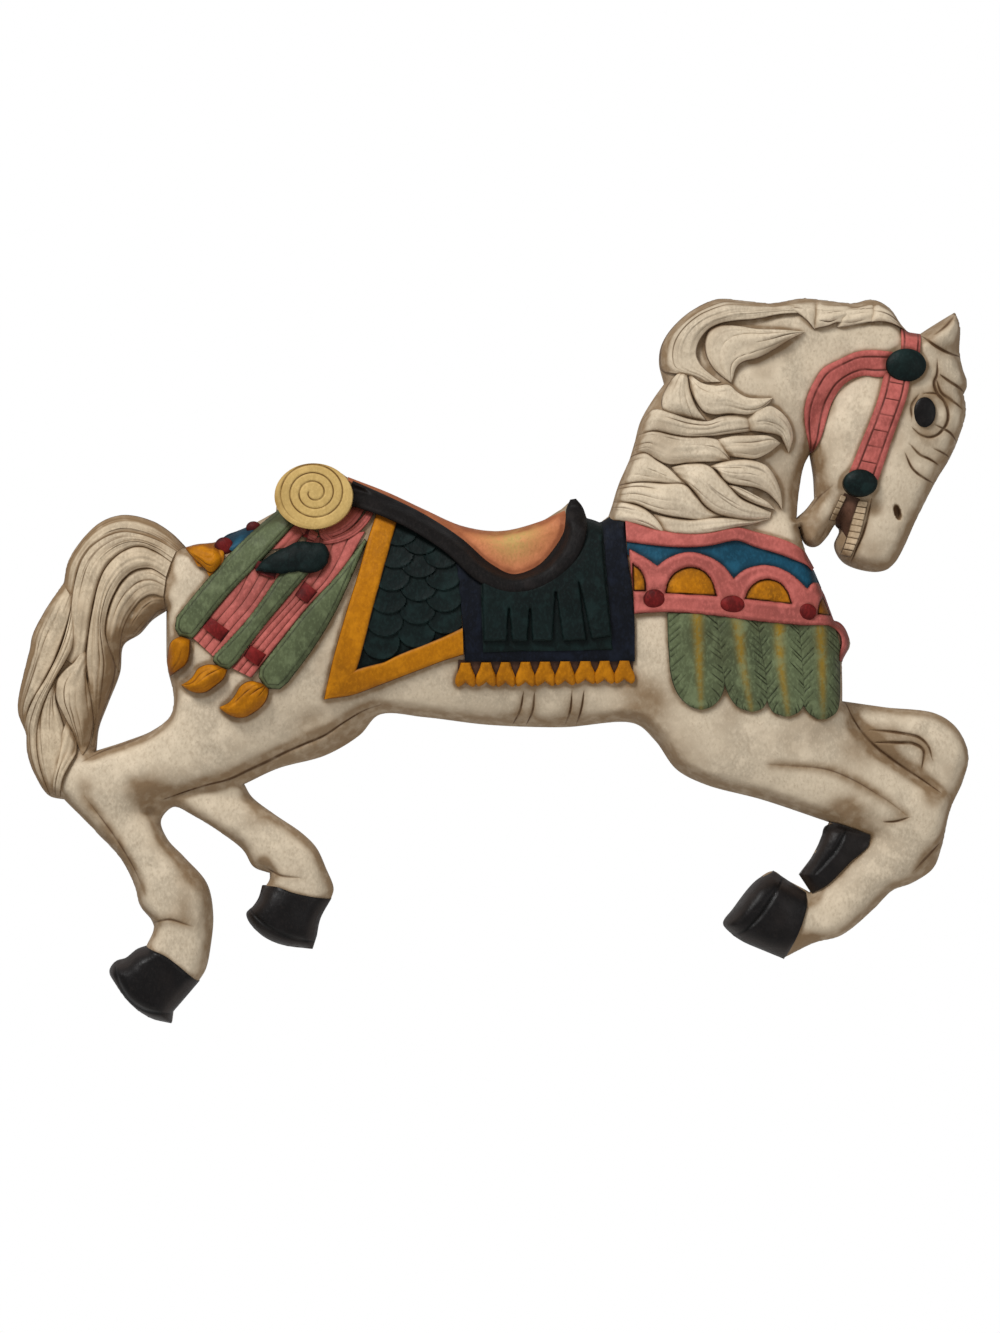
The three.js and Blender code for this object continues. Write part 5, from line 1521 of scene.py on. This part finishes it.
class HORSE_OT_bridle(bpy.types.Operator):
    """Makes the bridle and its rosettes"""
    bl_idname = "horse.bridle"
    bl_label = "Bridle"

    def execute(self, context):
        rise = sizes("bridle")
        made = [strip("throat_strap", *THROAT_STRAP, flat_strap(rise, 0.5, 0.7), across=26),
                strip("cheek_strap", *CHEEK_STRAP, self.ladder(rise + 0.8), across=34, step=0.8),
                strip("headpiece", *HEADPIECE, flat_strap(rise + 0.6, 0.7, 0.5), across=18)]
        finish(join("bridle", made), painted("rose"))
        rosettes = [dome(f"rosette_{i}", *spot, 5.4, rise + 1) for i, spot in enumerate(ROSETTES)]
        finish(join("rosettes", rosettes), painted("rosette_green"))
        return {"FINISHED"}

    def ladder(self, rise):
        """Two edge lines with cross cuts between them."""
        base = flat_strap(rise, 0.56, 0.7)

        def shape(u, v, half):
            high, groove = base(u, v, half)
            cross = np.exp(-(((u * RUNGS) % 1.0 - 0.5) / 0.045) ** 2) * (np.abs(v) < 0.5)
            return high - 0.6 * cross, np.maximum(groove, cross)
        return shape


class HORSE_OT_face(bpy.types.Operator):
    """Makes the eye, the teeth and the open mouth"""
    bl_idname = "horse.face"
    bl_label = "Eye and mouth"

    def execute(self, context):
        finish(dome("eye", *EYE, 2.2, 0.2), painted("eye_black"))
        finish(cloth("mouth", [MOUTH], 0.6, pitch=1.0, back=3), painted("mouth_brown"))
        teeth = [strip(f"teeth_{i}", a, b, self.row(rise, count), across=10, step=0.5)
                 for i, ((a, b, count), rise) in enumerate(((TEETH, 2.6), (LOWER_TEETH, 2.2)))]
        finish(join("teeth", teeth), painted("ivory"))
        return {"FINISHED"}

    def row(self, rise, count):
        """A row of teeth, with a cut between each two."""
        def shape(u, v, half):
            tooth = np.clip(np.abs(np.sin(np.pi * u * count)) * 2.6, 0, 1)
            return rise * (0.4 + 0.6 * tooth) * (1 - 0.4 * v**6), np.maximum(1 - tooth, np.abs(v) ** 8)
        return shape


class HORSE_OT_glaze_and_shade(bpy.types.Operator):
    """Paints brown glazing and shade into the hollows of every piece, and a highlight on its ridges"""
    bl_idname = "horse.glaze"
    bl_label = "Brown glaze"

    def execute(self, context):
        settle_glaze_and_shade()
        return {"FINISHED"}


# ---------------------------------------------------------------------------------------------
# The stage, in metres

# across is the width that the camera sees at the depth face, which is the middle of the relief
CAMERA = {"distance": 2.8, "across": 0.8, "height": -0.0452, "face": 0.02, "sensor": 36}
# Each lamp: name, place, watts and width
LAMPS = (("key_light", (-1.2, -1.5, 1.9), 42, 0.7), ("fill_light", (1.6, -2.0, 0.2), 7, 1.6))
SKY = 0.4  # strength of the white sky as a light
FLOOR = {"radius": 0.85, "height": -0.8, "colour": (0.86, 0.86, 0.85, 1), "roughness": 0.7}


class HORSE_OT_stage(bpy.types.Operator):
    """Sets the camera, the lights and a pale floor"""
    bl_idname = "horse.stage"
    bl_label = "Stage"

    def execute(self, context):
        deselect()
        bpy.ops.mesh.primitive_circle_add(vertices=96, radius=FLOOR["radius"], fill_type="NGON",
                                          location=(0, 0, FLOOR["height"]))
        floor = bpy.context.object
        floor.name = "floor"
        pale = bpy.data.materials.new("pale_floor")
        pale.use_nodes = True
        shader = pale.node_tree.nodes["Principled BSDF"]
        shader.inputs["Base Color"].default_value = FLOOR["colour"]
        shader.inputs["Roughness"].default_value = FLOOR["roughness"]
        floor.data.materials.append(pale)
        self.sky(context)
        for name, place, power, width in LAMPS:
            light = bpy.data.lights.new(name, "AREA")
            light.energy, light.size = power, width
            lamp = bpy.data.objects.new(name, light)
            lamp.location = place
            aim = -np.array(place)
            lamp.rotation_euler = (math.pi / 2 + math.atan2(aim[2], math.hypot(aim[0], aim[1])), 0,
                                   math.atan2(-aim[0], aim[1]))
            context.collection.objects.link(lamp)
        self.camera(context)
        return {"FINISHED"}

    def sky(self, context):
        """White behind the horse, dimmer as a light."""
        world = bpy.data.worlds.new("studio")
        world.use_nodes = True
        nodes, link = world.node_tree.nodes, world.node_tree.links.new
        backdrop = nodes["Background"]
        backdrop.inputs["Color"].default_value = (1, 1, 1, 1)
        rays = nodes.new("ShaderNodeLightPath")
        level = nodes.new("ShaderNodeMapRange")
        level.inputs["To Min"].default_value = SKY
        level.inputs["To Max"].default_value = 1.0
        link(rays.outputs["Is Camera Ray"], level.inputs["Value"])
        link(level.outputs["Result"], backdrop.inputs["Strength"])
        context.scene.world = world
        context.scene.view_settings.view_transform = "Standard"

    def camera(self, context):
        lens = bpy.data.cameras.new("camera")
        lens.sensor_fit = "HORIZONTAL"
        lens.sensor_width = CAMERA["sensor"]
        lens.lens = CAMERA["sensor"] * (CAMERA["distance"] - CAMERA["face"]) / CAMERA["across"]
        camera = bpy.data.objects.new("camera", lens)
        camera.location = (0, -CAMERA["distance"], CAMERA["height"])
        camera.rotation_euler = (math.pi / 2, 0, 0)
        context.collection.objects.link(camera)
        context.scene.camera = camera


ORDER = (
    HORSE_OT_coat, HORSE_OT_hair, HORSE_OT_hooves, HORSE_OT_saddle, HORSE_OT_bedroll, HORSE_OT_saddle_cloth,
    HORSE_OT_blanket, HORSE_OT_hip_straps, HORSE_OT_collar, HORSE_OT_bridle, HORSE_OT_face, HORSE_OT_glaze_and_shade,
    HORSE_OT_stage,
)


class HORSE_PT_panel(bpy.types.Panel):
    bl_idname = "HORSE_PT_panel"
    bl_label = "Carousel horse"
    bl_space_type = "VIEW_3D"
    bl_region_type = "UI"
    bl_category = "Horse"

    def draw(self, context):
        for group in (context.scene.horse_sizes, context.scene.horse_colours):
            for name in group.__annotations__:
                self.layout.prop(group, name)
        for operator in ORDER:
            self.layout.operator(operator.bl_idname)


CLASSES = (HorseSizes, HorseColours, *ORDER, HORSE_PT_panel)


def register():
    for cls in CLASSES:
        bpy.utils.register_class(cls)
    bpy.types.Scene.horse_sizes = bpy.props.PointerProperty(type=HorseSizes)
    bpy.types.Scene.horse_colours = bpy.props.PointerProperty(type=HorseColours)


def unregister():
    del bpy.types.Scene.horse_colours
    del bpy.types.Scene.horse_sizes
    for cls in reversed(CLASSES):
        bpy.utils.unregister_class(cls)


def main():
    register()
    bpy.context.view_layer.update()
    for operator in ORDER:
        group, name = operator.bl_idname.split(".")
        getattr(getattr(bpy.ops, group), name)()


if __name__ == "__main__":
    main()
